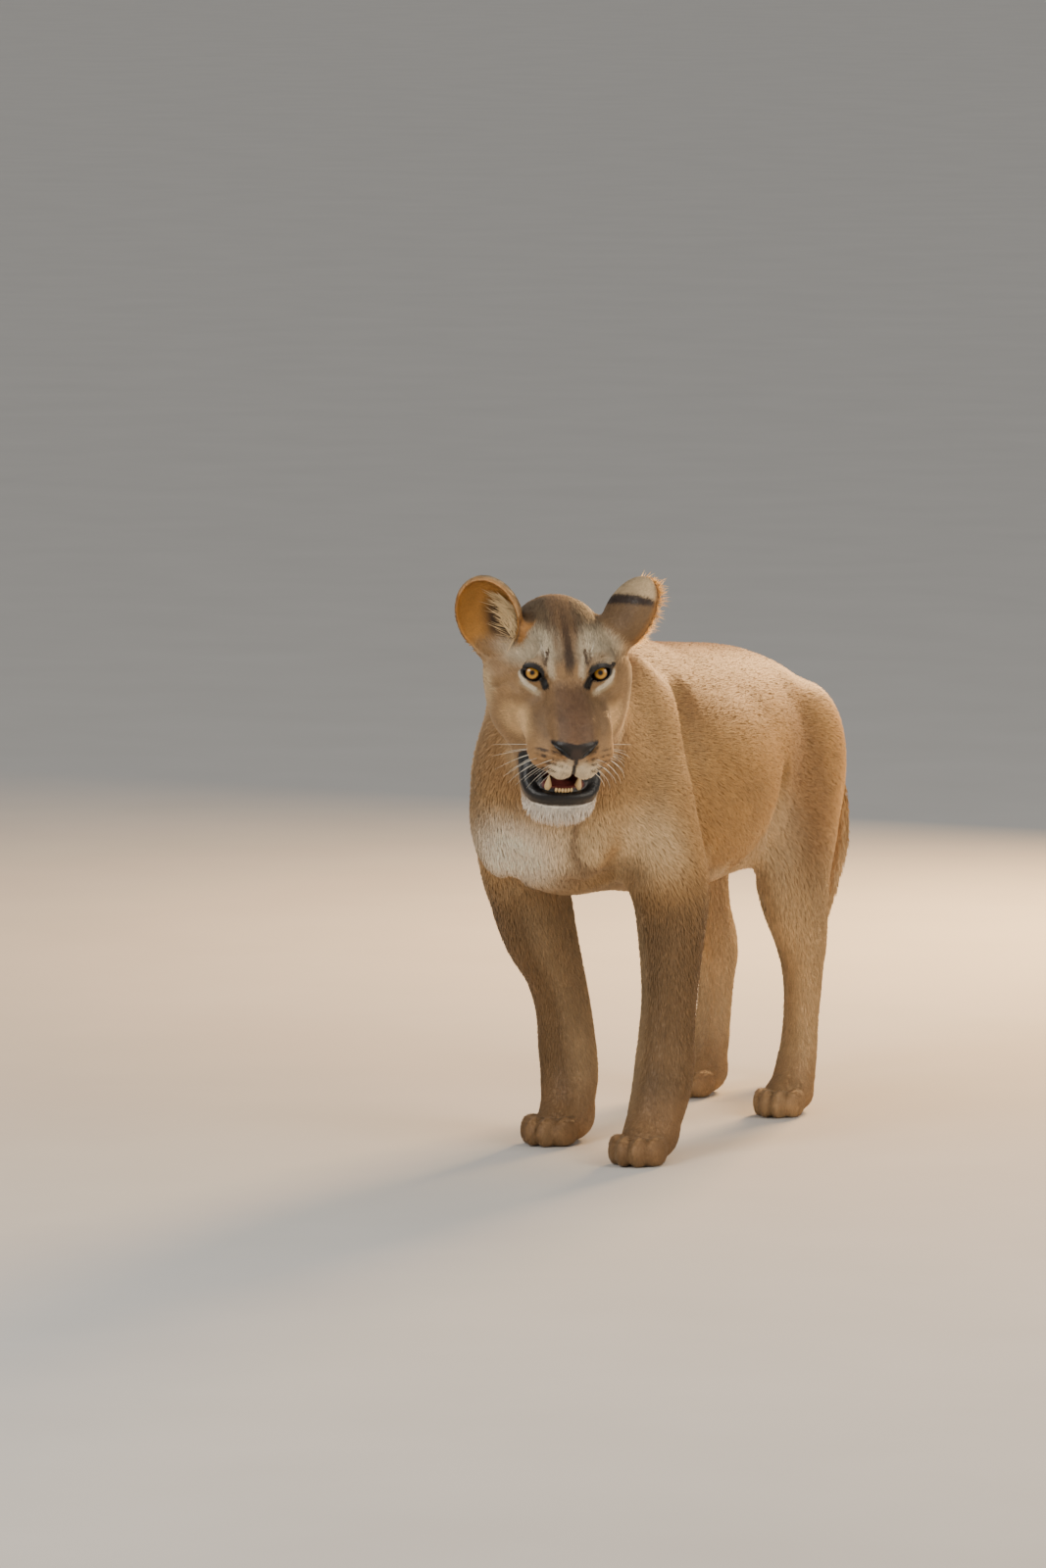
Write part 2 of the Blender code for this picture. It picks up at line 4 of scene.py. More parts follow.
import bmesh
import bpy
import numpy as np
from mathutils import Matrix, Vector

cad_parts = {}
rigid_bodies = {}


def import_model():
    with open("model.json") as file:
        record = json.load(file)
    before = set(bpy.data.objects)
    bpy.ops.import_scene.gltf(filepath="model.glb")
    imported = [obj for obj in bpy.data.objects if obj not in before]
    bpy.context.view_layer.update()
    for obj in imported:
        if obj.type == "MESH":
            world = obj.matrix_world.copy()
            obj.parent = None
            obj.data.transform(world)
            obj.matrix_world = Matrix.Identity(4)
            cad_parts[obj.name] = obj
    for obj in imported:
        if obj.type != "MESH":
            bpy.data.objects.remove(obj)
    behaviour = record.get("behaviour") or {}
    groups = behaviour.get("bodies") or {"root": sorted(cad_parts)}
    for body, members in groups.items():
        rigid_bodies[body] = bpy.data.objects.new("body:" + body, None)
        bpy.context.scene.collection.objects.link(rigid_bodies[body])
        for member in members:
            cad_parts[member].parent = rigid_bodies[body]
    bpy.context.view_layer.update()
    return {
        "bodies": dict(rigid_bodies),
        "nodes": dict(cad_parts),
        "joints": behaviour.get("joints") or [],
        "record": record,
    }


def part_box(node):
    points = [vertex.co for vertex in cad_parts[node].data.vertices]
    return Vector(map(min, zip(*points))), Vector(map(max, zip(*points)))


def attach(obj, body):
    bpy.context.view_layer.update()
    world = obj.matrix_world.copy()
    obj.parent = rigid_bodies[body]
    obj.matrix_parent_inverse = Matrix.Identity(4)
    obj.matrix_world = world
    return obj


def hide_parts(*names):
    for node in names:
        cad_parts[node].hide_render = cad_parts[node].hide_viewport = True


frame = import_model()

import openvdb
from mathutils import Vector

random = np.random.default_rng(11)

EYE_RADIUS, EYE_OUT, EYE_DEEP, EYE_UP = 0.0170, 0.054, -.008, 0.0040
HEAD_AT = np.array((0.158, -0.380, 0.820))  # midpoint between the eyes
HEAD_YAW, HEAD_PITCH, HEAD_ROLL = 34.5, 28, 1.2
ASIDE = 0.004  # how far the muzzle is drawn to her left
EARS = ((-.114, .086, .046), -15, 0, -20, 1.03), ((.112, .098, .044), 32, -22, 110, .88)
EAR_CUP = (0, .002, 0), (.053, .034, .074)  # middle and radii of the outside of an ear
EAR_HOLLOW = (0, -.014, .005), (.046, .036, .066)
FORE_PAW = (0.048, 0.066, 0.036)  # half width, half length, half height
HIND_PAW = (0.043, 0.062, 0.034)
FEET = (((.140, -.045, 0), FORE_PAW, 4), ((-.076, .090, 0), FORE_PAW, -6),  # middle of the sole, size, yaw
        ((.121, .540, 0), HIND_PAW, 3), ((-.105, .680, 0), HIND_PAW, -4))
BRUSH = (-.020, .894)  # where the end of the tail comes down
FURROW = (.094, .640), (.086, .595), (.081, .550), (.076, .505), (.078, .465)  # of the breast: sideways, up
NECK_CUT = (np.array((.10, -.25, .76)), np.array((.40, -.82, .20)) / np.linalg.norm((.40, -.82, .20)))
ANKLE_CUT = 0.100
BAND = 24  # slant of the dark band behind the ears
HEAD_STEP, BODY_STEP, FOOT_STEP = ((.0017, .0080, .0032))
TUFTS = 360000
SKIN_TRIANGLES, TUFTS_A_PIECE = 190000, 49000
CAMERA_AWAY, CAMERA_TURN, CAMERA_RISE = 16, 26, 6.5  # metres, degrees
AIM = (-.11122, .02049, .58954)                  # what the middle of the photo shows
FOCAL_PIXELS, PHOTO_HEIGHT, SENSOR = 10112, 1600, 36
FLOOR_REACH, FLOOR_CELLS, FLOOR_DROP = 90, 24, .0005
SKIN_LOW, HAIR_LOW = .0008, .0004                # least heights over the floor
EYE_CORNERS = 22  # slant of an eye, with its outer corner the higher, in degrees


def linked(name, data):
    """A new object in the scene."""
    obj = bpy.data.objects.new(name, data)
    bpy.context.scene.collection.objects.link(obj)
    return obj


def mesh_of(name, bm):
    """A new mesh with what was built, which is let go."""
    mesh = bpy.data.meshes.new(name)
    bm.to_mesh(mesh)
    bm.free()
    return mesh


# ---- blended forms ----
def rotation(rx=0.0, ry=0.0, rz=0.0):
    (cx, cy, cz), (sx, sy, sz) = np.cos(np.radians((rx, ry, rz))), np.sin(np.radians((rx, ry, rz)))
    about_z = np.array([[cz, -sz, 0], [sz, cz, 0], [0, 0, 1]])
    about_y = np.array([[cy, 0, sy], [0, 1, 0], [-sy, 0, cy]])
    return about_z @ about_y @ np.array([[1, 0, 0], [0, cx, -sx], [0, sx, cx]])


HEAD_TURN = rotation(rz=HEAD_YAW) @ rotation(rx=HEAD_PITCH) @ rotation(ry=HEAD_ROLL)


def smooth_union(a, b, k):
    h = np.clip(0.5 + 0.5 * (b - a) / k, 0.0, 1.0)
    return b + (a - b) * h - k * h * (1.0 - h)


def spline(table, per=4):
    """Catmull-Rom curve through the rows of a table."""
    t = np.asarray(table, float)
    ends = np.vstack([2 * t[0] - t[1], t, 2 * t[-1] - t[-2]])
    rows = []
    for i in range(len(t) - 1):
        a, b, c, d = ends[i:i + 4]
        for u in np.arange(per) / per:
            rows.append(0.5 * (2 * b + (c - a) * u + (2 * a - 5 * b + 4 * c - d) * u ** 2
                               + (3 * b - a - 3 * c + d) * u ** 3))
    return np.array(rows + [t[-1]])


class Blob:
    """An ellipsoid of flesh; with cut set it is hollowed out of the rest."""

    def __init__(self, at, radii, turn=(0, 0, 0), blend=0.03, cut=False):
        self.at, self.radii = np.array(at, float), np.array(radii, float)
        self.turn, self.blend, self.cut = rotation(*turn), blend, cut

    def box(self):
        reach = np.sqrt(((self.turn * self.radii) ** 2).sum(1))
        return self.at - reach, self.at + reach

    def distance(self, p):
        q = (p - self.at) @ self.turn
        k0 = np.sqrt(((q / self.radii) ** 2).sum(1))
        k1 = np.sqrt(((q / self.radii ** 2) ** 2).sum(1)) + 1e-9
        return k0 * (k0 - 1.0) / k1

    def moved(self, at, turn):
        new = Blob(at + turn @ self.at, self.radii, blend=self.blend, cut=self.cut)
        new.turn = turn @ self.turn
        return new


class Limb:
    """A tube of elliptical section through rows of x, y, z, side radius, fore-and-aft radius."""

    def __init__(self, rows, lateral=(1, 0, 0), blend=0.03, cut=False):
        t = spline(rows)
        self.path, self.side, self.deep = t[:, :3], np.maximum(t[:, 3], .0008), np.maximum(t[:, 4], .0008)
        self.lateral = np.array(lateral, float) / np.linalg.norm(lateral)
        self.blend, self.cut = blend, cut

    def box(self):
        r = np.maximum(self.side, self.deep)[:, None]
        return (self.path - r).min(0), (self.path + r).max(0)

    def distance(self, p):
        best = np.full(len(p), 1e9)
        for i in range(len(self.path) - 1):
            a, run = self.path[i], self.path[i + 1] - self.path[i]
            t = np.clip((p - a) @ run / (run @ run), 0, 1)
            q = p - a - t[:, None] * run
            side = self.side[i] + t * (self.side[i + 1] - self.side[i])
            deep = self.deep[i] + t * (self.deep[i + 1] - self.deep[i])
            across = q @ self.lateral
            rest = np.maximum((q * q).sum(1) - across ** 2, 0)
            k0 = np.sqrt((across / side) ** 2 + rest / deep ** 2)
            k1 = np.sqrt(across ** 2 / side ** 4 + rest / deep ** 4) + 1e-9
            best = np.minimum(best, k0 * (k0 - 1.0) / k1)
        return best

    def moved(self, at, turn):
        new = Limb([(0, 0, 0, 1, 1), (1, 0, 0, 1, 1)], blend=self.blend, cut=self.cut)
        new.path, new.side, new.deep = self.path @ turn.T + at, self.side, self.deep
        new.lateral = turn @ self.lateral
        return new


def field(forms, p, margin=0.02):
    """Signed distance, about, from the points to the surface of the blended forms."""
    d = np.full(len(p), 0.5)
    for f in forms:
        lo, hi = f.box()
        near = ((p > lo - f.blend - margin) & (p < hi + f.blend + margin)).all(1)
        if near.any():
            v = f.distance(p[near])
            d[near] = -smooth_union(-d[near], v, f.blend) if f.cut else smooth_union(d[near], v, f.blend)
    return d


# ---- the animal ----
def paw(at, size, yaw=0):
    """A pad with four toes, 3 mm into the floor so that it stands on flats; at is the middle of the sole."""
    turn, at = rotation(rz=yaw), np.array(at, float)
    wide, long, high = size
    heel = at + turn @ np.array((0, 0.012, high - .003))
    forms = [Blob(heel, (wide * .92, long * .80, high), (0, 0, yaw), .02)]
    for side, ahead in ((-.70, -.62), (-.26, -.92), (.26, -.92), (.70, -.62)):
        toe = at + turn @ np.array((side * wide, ahead * long, high * .72 - .003))
        forms.append(Blob(toe, (wide * .30, long * .42, high * .72), (12, 0, yaw - side * 14), .015))
    return forms


def trunk():
    forms = [Limb([
        (0, -.205, .615, .030, .040), (0, -.165, .618, .093, .105), (0, -.095, .622, .117, .165),
        (0, .000, .622, .135, .200), (0, .120, .615, .155, .203), (0, .250, .600, .164, .206),
        (0, .370, .590, .166, .204), (0, .470, .592, .154, .192), (0, .560, .604, .132, .165),
        (0, .650, .607, .110, .134), (0, .725, .598, .094, .113), (0, .775, .592, .076, .088),
        (0, .800, .590, .052, .056)], blend=.02)]
    for s in (1, -1):
        forms += [
            Blob((s * .088, .010, .680), (.048, .088, .148), (28, s * 8, 0), .05),  # shoulder blade
            Blob((s * .099, -.082, .600), (.043, .055, .085), (0, 0, 0), .05),  # point of the shoulder
            Blob((s * .120, .060, .560), (.042, .078, .100), (-25, 0, 0), .045),  # upper arm
            Blob((s * .056, -.140, .545), (.062, .064, .092), (0, 0, s * 10), .035),  # breast
            Blob((s * .050, .630, .674), (.056, .085, .046), (-16, s * 12, 0), .04),  # hip
            Blob((s * .084, .688, .570), (.050, .103, .124), (-8, 0, 0), .04),  # thigh
            Blob((s * .108, .250, .560), (.058, .160, .130), (0, 0, 0), .06),  # ribs
            Blob((s * .085, .500, .490), (.046, .085, .056), (20, 0, 0), .05),  # fold of the flank
        ]
    forms += [Blob((0, .07, .765), (.055, .150, .056), (3, 0, 0), .05),  # withers
              Blob((0, -.06, .490), (.075, .10, .055), (0, 0, 0), .04)]  # brisket
    return forms


def forelegs():
    return [
        Limb([
            (.120, .005, .560, .058, .092), (.130, .040, .480, .061, .090), (.135, .058, .420, .059, .080),
            (.137, .056, .350, .052, .067), (.139, .045, .260, .045, .053), (.138, .037, .195, .046, .050),
            (.138, .030, .150, .049, .051), (.138, .015, .105, .048, .049),
            (.138, -.012, .060, .045, .042)], blend=.035),
        Blob((.136, .108, .455), (.026, .030, .045), (0, 0, 0), .03),  # elbow
        Limb([
            (-.120, .005, .560, .060, .092), (-.131, .048, .480, .064, .090), (-.132, .080, .420, .064, .083),
            (-.124, .102, .350, .059, .073), (-.109, .128, .280, .048, .057), (-.099, .143, .215, .045, .051),
            (-.093, .147, .150, .048, .051), (-.087, .143, .105, .048, .049),
            (-.080, .123, .060, .045, .042)], blend=.035),
        Blob((-.132, .128, .455), (.026, .030, .045), (0, 0, 0), .03),
    ] + paw(*FEET[0]) + paw(*FEET[1])


def hindlegs():
    return [
        Limb([
            (.080, .700, .610, .046, .070), (.088, .675, .560, .050, .122), (.103, .618, .480, .054, .124),
            (.112, .584, .420, .051, .113), (.117, .580, .375, .047, .098), (.120, .588, .330, .041, .080),
            (.121, .598, .285, .037, .064), (.121, .603, .250, .034, .052), (.121, .604, .205, .031, .042),
            (.121, .598, .155, .030, .035), (.121, .588, .105, .032, .033),
            (.121, .574, .065, .035, .034)], blend=.03),
        Limb([(.121, .632, .345, .012, .012), (.121, .655, .305, .017, .019),
              (.121, .650, .262, .017, .020)], blend=.02),  # point of the hock
        Limb([
            (-.080, .705, .610, .046, .070), (-.088, .705, .560, .050, .122), (-.101, .674, .480, .054, .123),
            (-.110, .672, .410, .051, .106), (-.112, .690, .355, .045, .082), (-.111, .720, .305, .038, .062),
            (-.110, .748, .262, .034, .050), (-.109, .760, .225, .033, .046), (-.108, .756, .180, .030, .037),
            (-.107, .744, .130, .030, .033), (-.106, .728, .085, .033, .033),
            (-.105, .712, .055, .035, .034)], blend=.03),
        Limb([(-.111, .772, .300, .012, .012), (-.110, .800, .262, .017, .019),
              (-.109, .796, .222, .017, .020)], blend=.02),
    ] + paw(*FEET[2]) + paw(*FEET[3])


def tail():
    return [Limb([
        (0, .765, .640, .036, .040), (.004, .832, .626, .030, .032), (.022, .895, .575, .0215, .0225),
        (.042, .922, .490, .0175, .0175), (.048, .920, .410, .016, .016), (.036, .905, .330, .0145, .0145),
        (.012, .890, .245, .0135, .0135), (-.006, .890, .185, .015, .015), (-.016, .894, .135, .020, .020),
        (-.020, .894, .085, .016, .016),
        (-.022, .890, .052, .005, .005)], blend=.02)]


def neck():
    return [Limb([
        (.000, .060, .655, .118, .150), (.012, -.050, .672, .116, .150), (.045, -.140, .700, .106, .138),
        (.080, -.205, .735, .096, .122), (.105, -.262, .765, .088, .104),
        (.120, -.300, .785, .078, .084)], lateral=(.951, .309, 0), blend=.05)]


def head():
    """Laid out round the midpoint of the eyes, with the muzzle towards -Y and the palate level."""
    forms = [
        Blob((0, .080, -.006), (.084, .100, .062), blend=.03),  # braincase
        Blob((0, .024, .012), (.066, .062, .038), blend=.03),  # forehead
        Blob((0, .100, .004), (.050, .070, .044), blend=.04),  # crest
        Limb([(0, .010, .000, .036, .028), (0, -.045, -.018, .034, .027),
              (ASIDE, -.095, -.036, .037, .025), (ASIDE, -.118, -.046, .032, .018)], blend=.02),  # bridge
        Limb([(0, .020, -.062, .068, .055), (0, -.040, -.068, .059, .048),
              (ASIDE, -.085, -.074, .051, .038), (ASIDE, -.105, -.079, .041, .029)], blend=.022),  # muzzle
        Blob((ASIDE, -.126, -.056), (.030, .014, .016), (-20, 0, 0), .010)]  # nose pad
    for s in (1, -1):
        forms += [
            Blob((s * .055, -.031, EYE_UP), (.023, .021, .0135), (0, s * 6, 0), .007, True),  # socket
            Blob((s * .070, .052, -.045), (.047, .078, .060), (0, 0, s * -8), .035),  # cheek
            Blob((s * .060, .052, -.102), (.043, .066, .050), (0, 0, 0), .035),  # jaw muscle
            Blob((s * .052, -.004, -.031), (.030, .022, .017), (0, 0, s * -10), .020),  # cheekbone
            Blob((s * .047, .004, .024), (.030, .021, .012), (0, s * 10, 0), .020),  # brow
            Blob((s * .037, -.050, -.068), (.029, .046, .036), (0, 0, s * 6), .02),  # side of the muzzle
            Blob((s * .046, -.004, -.128), (.015, .036, .040), (0, 0, s * -8), .02),  # corner of the mouth
            Limb([(s * .055, .055, -.112, .024, .034), (s * .047, -.005, -.150, .021, .030),
                  (s * .039, -.056, -.182, .022, .028), (s * .016, -.072, -.190, .022, .026)], blend=.02)]
    forms += [Blob((0, -.063, -.205), (.052, .032, .031), (0, 0, 0), .02),  # chin
              Blob((0, .020, -.172), (.038, .070, .024), (24, 0, 0), .03),  # throat
              Limb([(0, -.130, -.130, .036, .013), (0, -.088, -.134, .037, .024),
                    (0, -.054, -.134, .030, .018), (0, -.030, -.130, .018, .010)], blend=.010, cut=True)]
    for s in (1, -1):           # whisker pads, and the front of the upper lip
        forms += [Blob((s * .032 + ASIDE, -.094, -.084), (.035, .038, .029), (0, s * -8, s * 12), .014),
                  Blob((s * .018 + ASIDE, -.118, -.098), (.021, .022, .0195), (0, 0, s * 10), .010)]
    return forms


def ear(at, lean, nod, yaw, size=1.0):
    """A cup whose opening looks along its own -Y; at is its middle."""
    turn = ear_turn(lean, nod, yaw)
    cup = [(*EAR_CUP, .016, False), ((0, .012, -.056), (.033, .028, .034), .020, False),
           (*EAR_HOLLOW, .004, True), ((0, -.052, .004), (.090, .046, .090), .004, True)]
    return [Blob(np.array(c) * size, np.array(r) * size, blend=k, cut=cut).moved(np.array(at, float), turn)
            for c, r, k, cut in cup]


def rope(points, radii, blend, cut=False):
    """A round tube through the points."""
    return Limb([(*at, r, r) for at, r in zip(points, radii)], blend=blend, cut=cut)


def ear_turn(lean, nod, yaw, within=np.eye(3)):
    return within @ rotation(ry=lean) @ rotation(rx=nod) @ rotation(rz=yaw)


def placed(forms):
    return [f.moved(HEAD_AT, HEAD_TURN) for f in forms]


def in_head(points):
    return HEAD_AT + np.asarray(points, float) @ HEAD_TURN.T


def seen_from_head(p):
    return (p - HEAD_AT) @ HEAD_TURN


def landed(points, way):
    """Each point moved along the way until it meets the trunk, neck or legs."""
    forms = trunk() + neck() + forelegs() + hindlegs()
    steps = np.linspace(0, .45, 226)
    found = []
    for p in np.asarray(points, float):
        line = p + steps[:, None] * np.array(way, float)
        found.append(line[np.argmax(field(forms, line) < 0)])
    return np.array(found)


def breastbone():
    return landed([(x, -.5, z) for x, z in FURROW], (0, 1, 0))


def armpit(s):
    return landed([(s * x, -.5, z) for x, z in ((.045, .455), (.085, .462), (.120, .470))], (0, 1, 0))


def folds():
    """Furrows in the hide of the body: breastbone, armpits, shoulder and flank."""
    forms = [rope(breastbone(), (.003, .008, .012, .013, .009), .030, True)]
    for s in (1, -1):
        shoulder = (.115, .735), (.100, .680), (.095, .610), (.110, .540), (.140, .480)
        flank = (.452, .580), (.444, .550), (.440, .520), (.446, .485), (.458, .450)
        lines = [landed([(s * .5, y, z) for y, z in line], (-s, 0, 0)) for line in (shoulder, flank)]
        forms += [rope(armpit(s), (.002, .004, .004), .022, True),
                  rope(lines[0], (.003, .006, .006, .006, .003), .040, True),
                  rope(lines[1], (.001, .004, .006, .006, .003), .022, True)]
    return forms


LIP_SIDE = ((.052, -.030, -.141, .006), (.054, -.046, -.154, .009), (.052, -.063, -.168, .011),
            (.043, -.080, -.1745, .0105), (.025, -.091, -.1735, .0085))
LIP = ([(-x, y, z, r) for x, y, z, r in LIP_SIDE] + [(0, -.094, -.173, .0080)] + list(LIP_SIDE[::-1]))
LIP_LINE = [point[:3] for point in LIP]
GAZE = HEAD_TURN.T @ (.4356, -.8930, .1132)  # where she looks, seen from her own head


def eye_at(side):
    return np.array((side * EYE_OUT, EYE_DEEP, EYE_UP))


def eye_place(side, points):
    """Points beside an eye (outward, inward along her sight, up), with the outer corner the higher one."""
    across = np.array((1, 0, 0)) - GAZE * GAZE[0]
    across /= np.linalg.norm(across)
    frame = np.stack([across, -GAZE, np.cross(across, -GAZE)], 1) @ rotation(ry=-side * EYE_CORNERS)
    return eye_at(side) + (np.asarray(points, float) * (side, 1, 1)) @ frame.T


def eye_axes(side):
    """An eye's middle, and its own axes as columns."""
    at = eye_place(side, (0, 0, 0))
    return at, np.stack([eye_place(side, axis) - at for axis in np.eye(3)], 1)


def beside_eye(side, q):
    """The other way round: points of the head as seen from an eye."""
    at, axes = eye_axes(side)
    return (q - at) @ axes


def face():
    """What the solids leave out: lids, nose leather, lips, gums and the furrows between them."""
    forms = [Blob((ASIDE, -.1245, -.0555), (.0365, .0185, .0165), (-34, 0, 0), .006),  # nose leather
             Blob((ASIDE, -.133, -.072), (.015, .011, .012), (-20, 0, 0), .006),
             Blob((-.030, -.087, -.084), (.031, .036, .028), (0, 0, -12), .014),
             Blob((.044, -.058, -.056), (.021, .040, .026), (0, 0, 10), .022)]
    for s in (1, -1):
        eye, axes = eye_axes(s)
        lid = eye_place(s, [(x, -.0165, z) for x, z in (
            (-.019, .004), (-.012, .0125), (0, .0160), (.012, .0140), (.021, .006))])
        crease = eye_place(s, [(x, -.014, z) for x, z in (
            (-.019, .013), (-.008, .0205), (.004, .0222), (.017, .0180))])
        opening = Blob(eye, (.0152, .012, .0094), blend=.0018, cut=True)
        opening.at, opening.turn = eye_place(s, (-.0005, -.0170, -.0024)), axes
        forms += [
            Blob(eye, (.0206, .0206, .0206), blend=.010),  # lids
            rope(lid, [.0030] * 5, .006),  # fold of the upper lid
            rope(crease, [.0014] * 4, .004, True),
            Blob(eye, (.0172, .0172, .0172), blend=.0004, cut=True),
            opening,
            rope(eye_place(s, ((-.013, -.0150, -.003), (-.018, -.0155, -.005), (-.024, -.0165, -.010))),
                 (.0030, .0022, .0012), .002, True),  # inner corner
            rope(eye_place(s, ((.012, -.0130, .001), (.0178, -.0100, .002))),
                 (.0030, .0012), .002, True),  # outer corner
            Limb([(s * x + ASIDE, y, z, across, up) for x, y, z, across, up in (
                (.011, -.1420, -.0665, .0022, .0032), (.018, -.1385, -.0605, .0056, .0056),
                (.026, -.1325, -.0550, .0064, .0058), (.035, -.1210, -.0550, .0034, .0034))],
                 blend=.0020, cut=True),  # nostril
        ]
    forms += [Limb([(ASIDE, -.149, -.060, .0012, .002), (ASIDE, -.148, -.076, .0014, .002),
                    (ASIDE, -.145, -.092, .0020, .003), (ASIDE, -.141, -.108, .0030, .006),
                    (ASIDE, -.136, -.118, .0060, .006)], blend=.004, cut=True),  # furrow of the upper lip
              Limb([(x, y, z, r, r) for x, y, z, r in LIP], blend=.005),  # black lower lip
              Limb([(-.034, -.052, -.152, .006, .007), (-.026, -.076, -.162, .009, .007),
                    (0, -.084, -.165, .008, .007), (.026, -.076, -.162, .009, .007),
                    (.034, -.052, -.152, .006, .007)], blend=.004)]  # gums
    return forms


def coat_depth(p):
    """How far the skin lies under the tips of the coat."""
    q = seen_from_head(p)
    body = .0052 - .0018 * step_up(p[:, 2], .42, .20) - .0012 * step_up(p[:, 2], .14, .08)
    on_head = step_up(np.linalg.norm((q - (0, .03, -.05)) / (1, 1, 1.1), axis=1), .22, .15)
    head = .0036 - .0018 * step_up(q[:, 1], .03, -.03) - .0008 * step_up(q[:, 1], -.07, -.11)
    depth = body + (head - body) * on_head
    for _, on, _ in ear_masks(p):
        depth = depth + (.0014 - depth) * on
    for s in (1, -1):
        depth *= step_up(np.linalg.norm(q - eye_place(s, (0, 0, 0)), axis=1), .024, .034)
    depth *= 1 - spot(q, (ASIDE, -.132, -.062), (.046, .032, .034), .4)
    depth *= 1 - along(q, LIP_LINE, .018, .4)
    return depth + .0002


def step_up(x, start, end):
    """Smoothly from 0 at start to 1 at end."""
    t = np.clip((x - start) / (end - start), 0, 1)
    return t * t * (3 - 2 * t)


def noise(p, scale, seed=0):
    """Smooth noise from 0 to 1 in cells of 1 / scale."""
    q = p * scale + seed * 17.31
    cell = np.floor(q).astype(np.int64)
    f = q - cell
    f = f * f * (3 - 2 * f)
    total = np.zeros(len(p))
    for corner in np.ndindex(2, 2, 2):
        i = cell + corner
        h = (i[:, 0] * 374761393 + i[:, 1] * 668265263 + i[:, 2] * 1274126177 + seed * 97) & 0xffffffff
        h = ((h ^ (h >> 13)) * 1103515245) & 0xffffffff
        h = ((h ^ (h >> 16)) & 0xffff) / 65535
        total += h * np.prod(np.where(corner, f, 1 - f), axis=1)
    return total


def surface(forms, lo, hi, step):
    """Quads of the skin over the forms, worked out finely only near the surface."""
    block = 4
    lo, hi = np.array(lo, float), np.array(hi, float)
    n = np.ceil((hi - lo) / (step * block)).astype(int) + 1
    wide = step * block
    axes = [lo[i] + wide * (np.arange(n[i]) + .5) for i in range(3)]
    middle = np.stack(np.meshgrid(*axes, indexing="ij"), -1).reshape(-1, 3)
    coarse = field(forms, middle, wide * 1.6 + .01) + coat_depth(middle)
    values = np.clip(coarse, -1, 1).reshape(n)
    for axis in range(3):
        values = np.repeat(values, block, axis)
    cells = np.argwhere((np.abs(coarse) < wide * 1.5).reshape(n))
    inner = np.stack(np.meshgrid(*[np.arange(block)] * 3, indexing="ij"), -1).reshape(-1, 3)
    places = (cells[:, None, :] * block + inner[None]).reshape(-1, 3)
    for part in np.array_split(places, max(1, len(places) // 200000)):
        p = lo + step * part
        values[part[:, 0], part[:, 1], part[:, 2]] = field(forms, p) + coat_depth(p)
    grid = openvdb.FloatGrid(1.0)
    grid.copyFromArray(values.astype(np.float32))
    points, quads = grid.convertToQuads(0.0)
    return np.asarray(points, float) * step + lo, np.asarray(quads)


def bounds_of(forms):
    boxes = [f.box() for f in forms if not f.cut]
    return np.min([b[0] for b in boxes], 0) - .012, np.max([b[1] for b in boxes], 0) + .012


def add_region(bm, forms, lo, hi, step, cuts):
    """Adds the skin between the cuts; each cut is a point and the normal of the side that goes."""
    points, quads = surface(forms, lo, hi, step)
    mesh = bpy.data.meshes.new("region")
    mesh.from_pydata(points.tolist(), [], quads.tolist())
    part = bmesh.new()
    part.from_mesh(mesh)
    for at, normal in cuts:
        bmesh.ops.bisect_plane(part, geom=part.verts[:] + part.edges[:] + part.faces[:], dist=1e-6,
                               plane_co=Vector(at), plane_no=Vector(normal), clear_outer=True)
    part.to_mesh(mesh)
    part.free()
    bm.from_mesh(mesh)
    bpy.data.meshes.remove(mesh)


def bridge(bm, chosen):
    """Joins the two open rims that the test picks out."""
    edges = [e for e in bm.edges if e.is_boundary and chosen(np.array((e.verts[0].co + e.verts[1].co) / 2))]
    bmesh.ops.bridge_loops(bm, edges=edges)


def skin_mesh():
    cad_head = placed(head())
    ears = placed(ear(*EARS[0]) + ear(*EARS[1]))
    limbs = forelegs() + hindlegs() + tail()
    body = trunk() + limbs + neck() + cad_head + folds()
    fine_head = neck() + cad_head + placed(face()) + ears
    bm = bmesh.new()
    lo, hi = bounds_of(body)
    at, normal = NECK_CUT
    add_region(bm, body, (lo[0], lo[1], ANKLE_CUT - .03), hi, BODY_STEP,
               [(at, normal), ((0, 0, ANKLE_CUT + .0015), (0, 0, -1))])
    add_region(bm, fine_head, *bounds_of(cad_head + ears + neck()[-1:]), HEAD_STEP,
               [(at + normal * .0025, -normal)])
    bridge(bm, lambda p: abs((p - at - normal * .00125) @ normal) < .002)
    for x, y in [at[:2] for at, _, _ in FEET] + [BRUSH]:
        add_region(bm, limbs, (x - .075, y - .115, -.012), (x + .075, y + .115, ANKLE_CUT + .02), FOOT_STEP,
                   [((0, 0, ANKLE_CUT - .0015), (0, 0, 1))])
        bridge(bm, lambda p: abs(p[2] - ANKLE_CUT) < .0025 and abs(p[0] - x) < .1 and abs(p[1] - y) < .13)
    for v in bm.verts:
        v.co.z = max(v.co.z, SKIN_LOW)
    bmesh.ops.triangulate(bm, faces=bm.faces)
    bmesh.ops.recalc_face_normals(bm, faces=bm.faces)
    open_edges = sum(e.is_boundary for e in bm.edges)
    mesh = mesh_of("skin", bm)
    print("skin", len(mesh.vertices), "vertices", len(mesh.polygons), "triangles", open_edges, "open edges")
    return mesh


# ---- markings, painted shade and a painted highlight ----
def srgb(r, g, b):
    c = np.array((r, g, b)) / 255
    return np.where(c < .04045, c / 12.92, ((c + .055) / 1.055) ** 2.4)


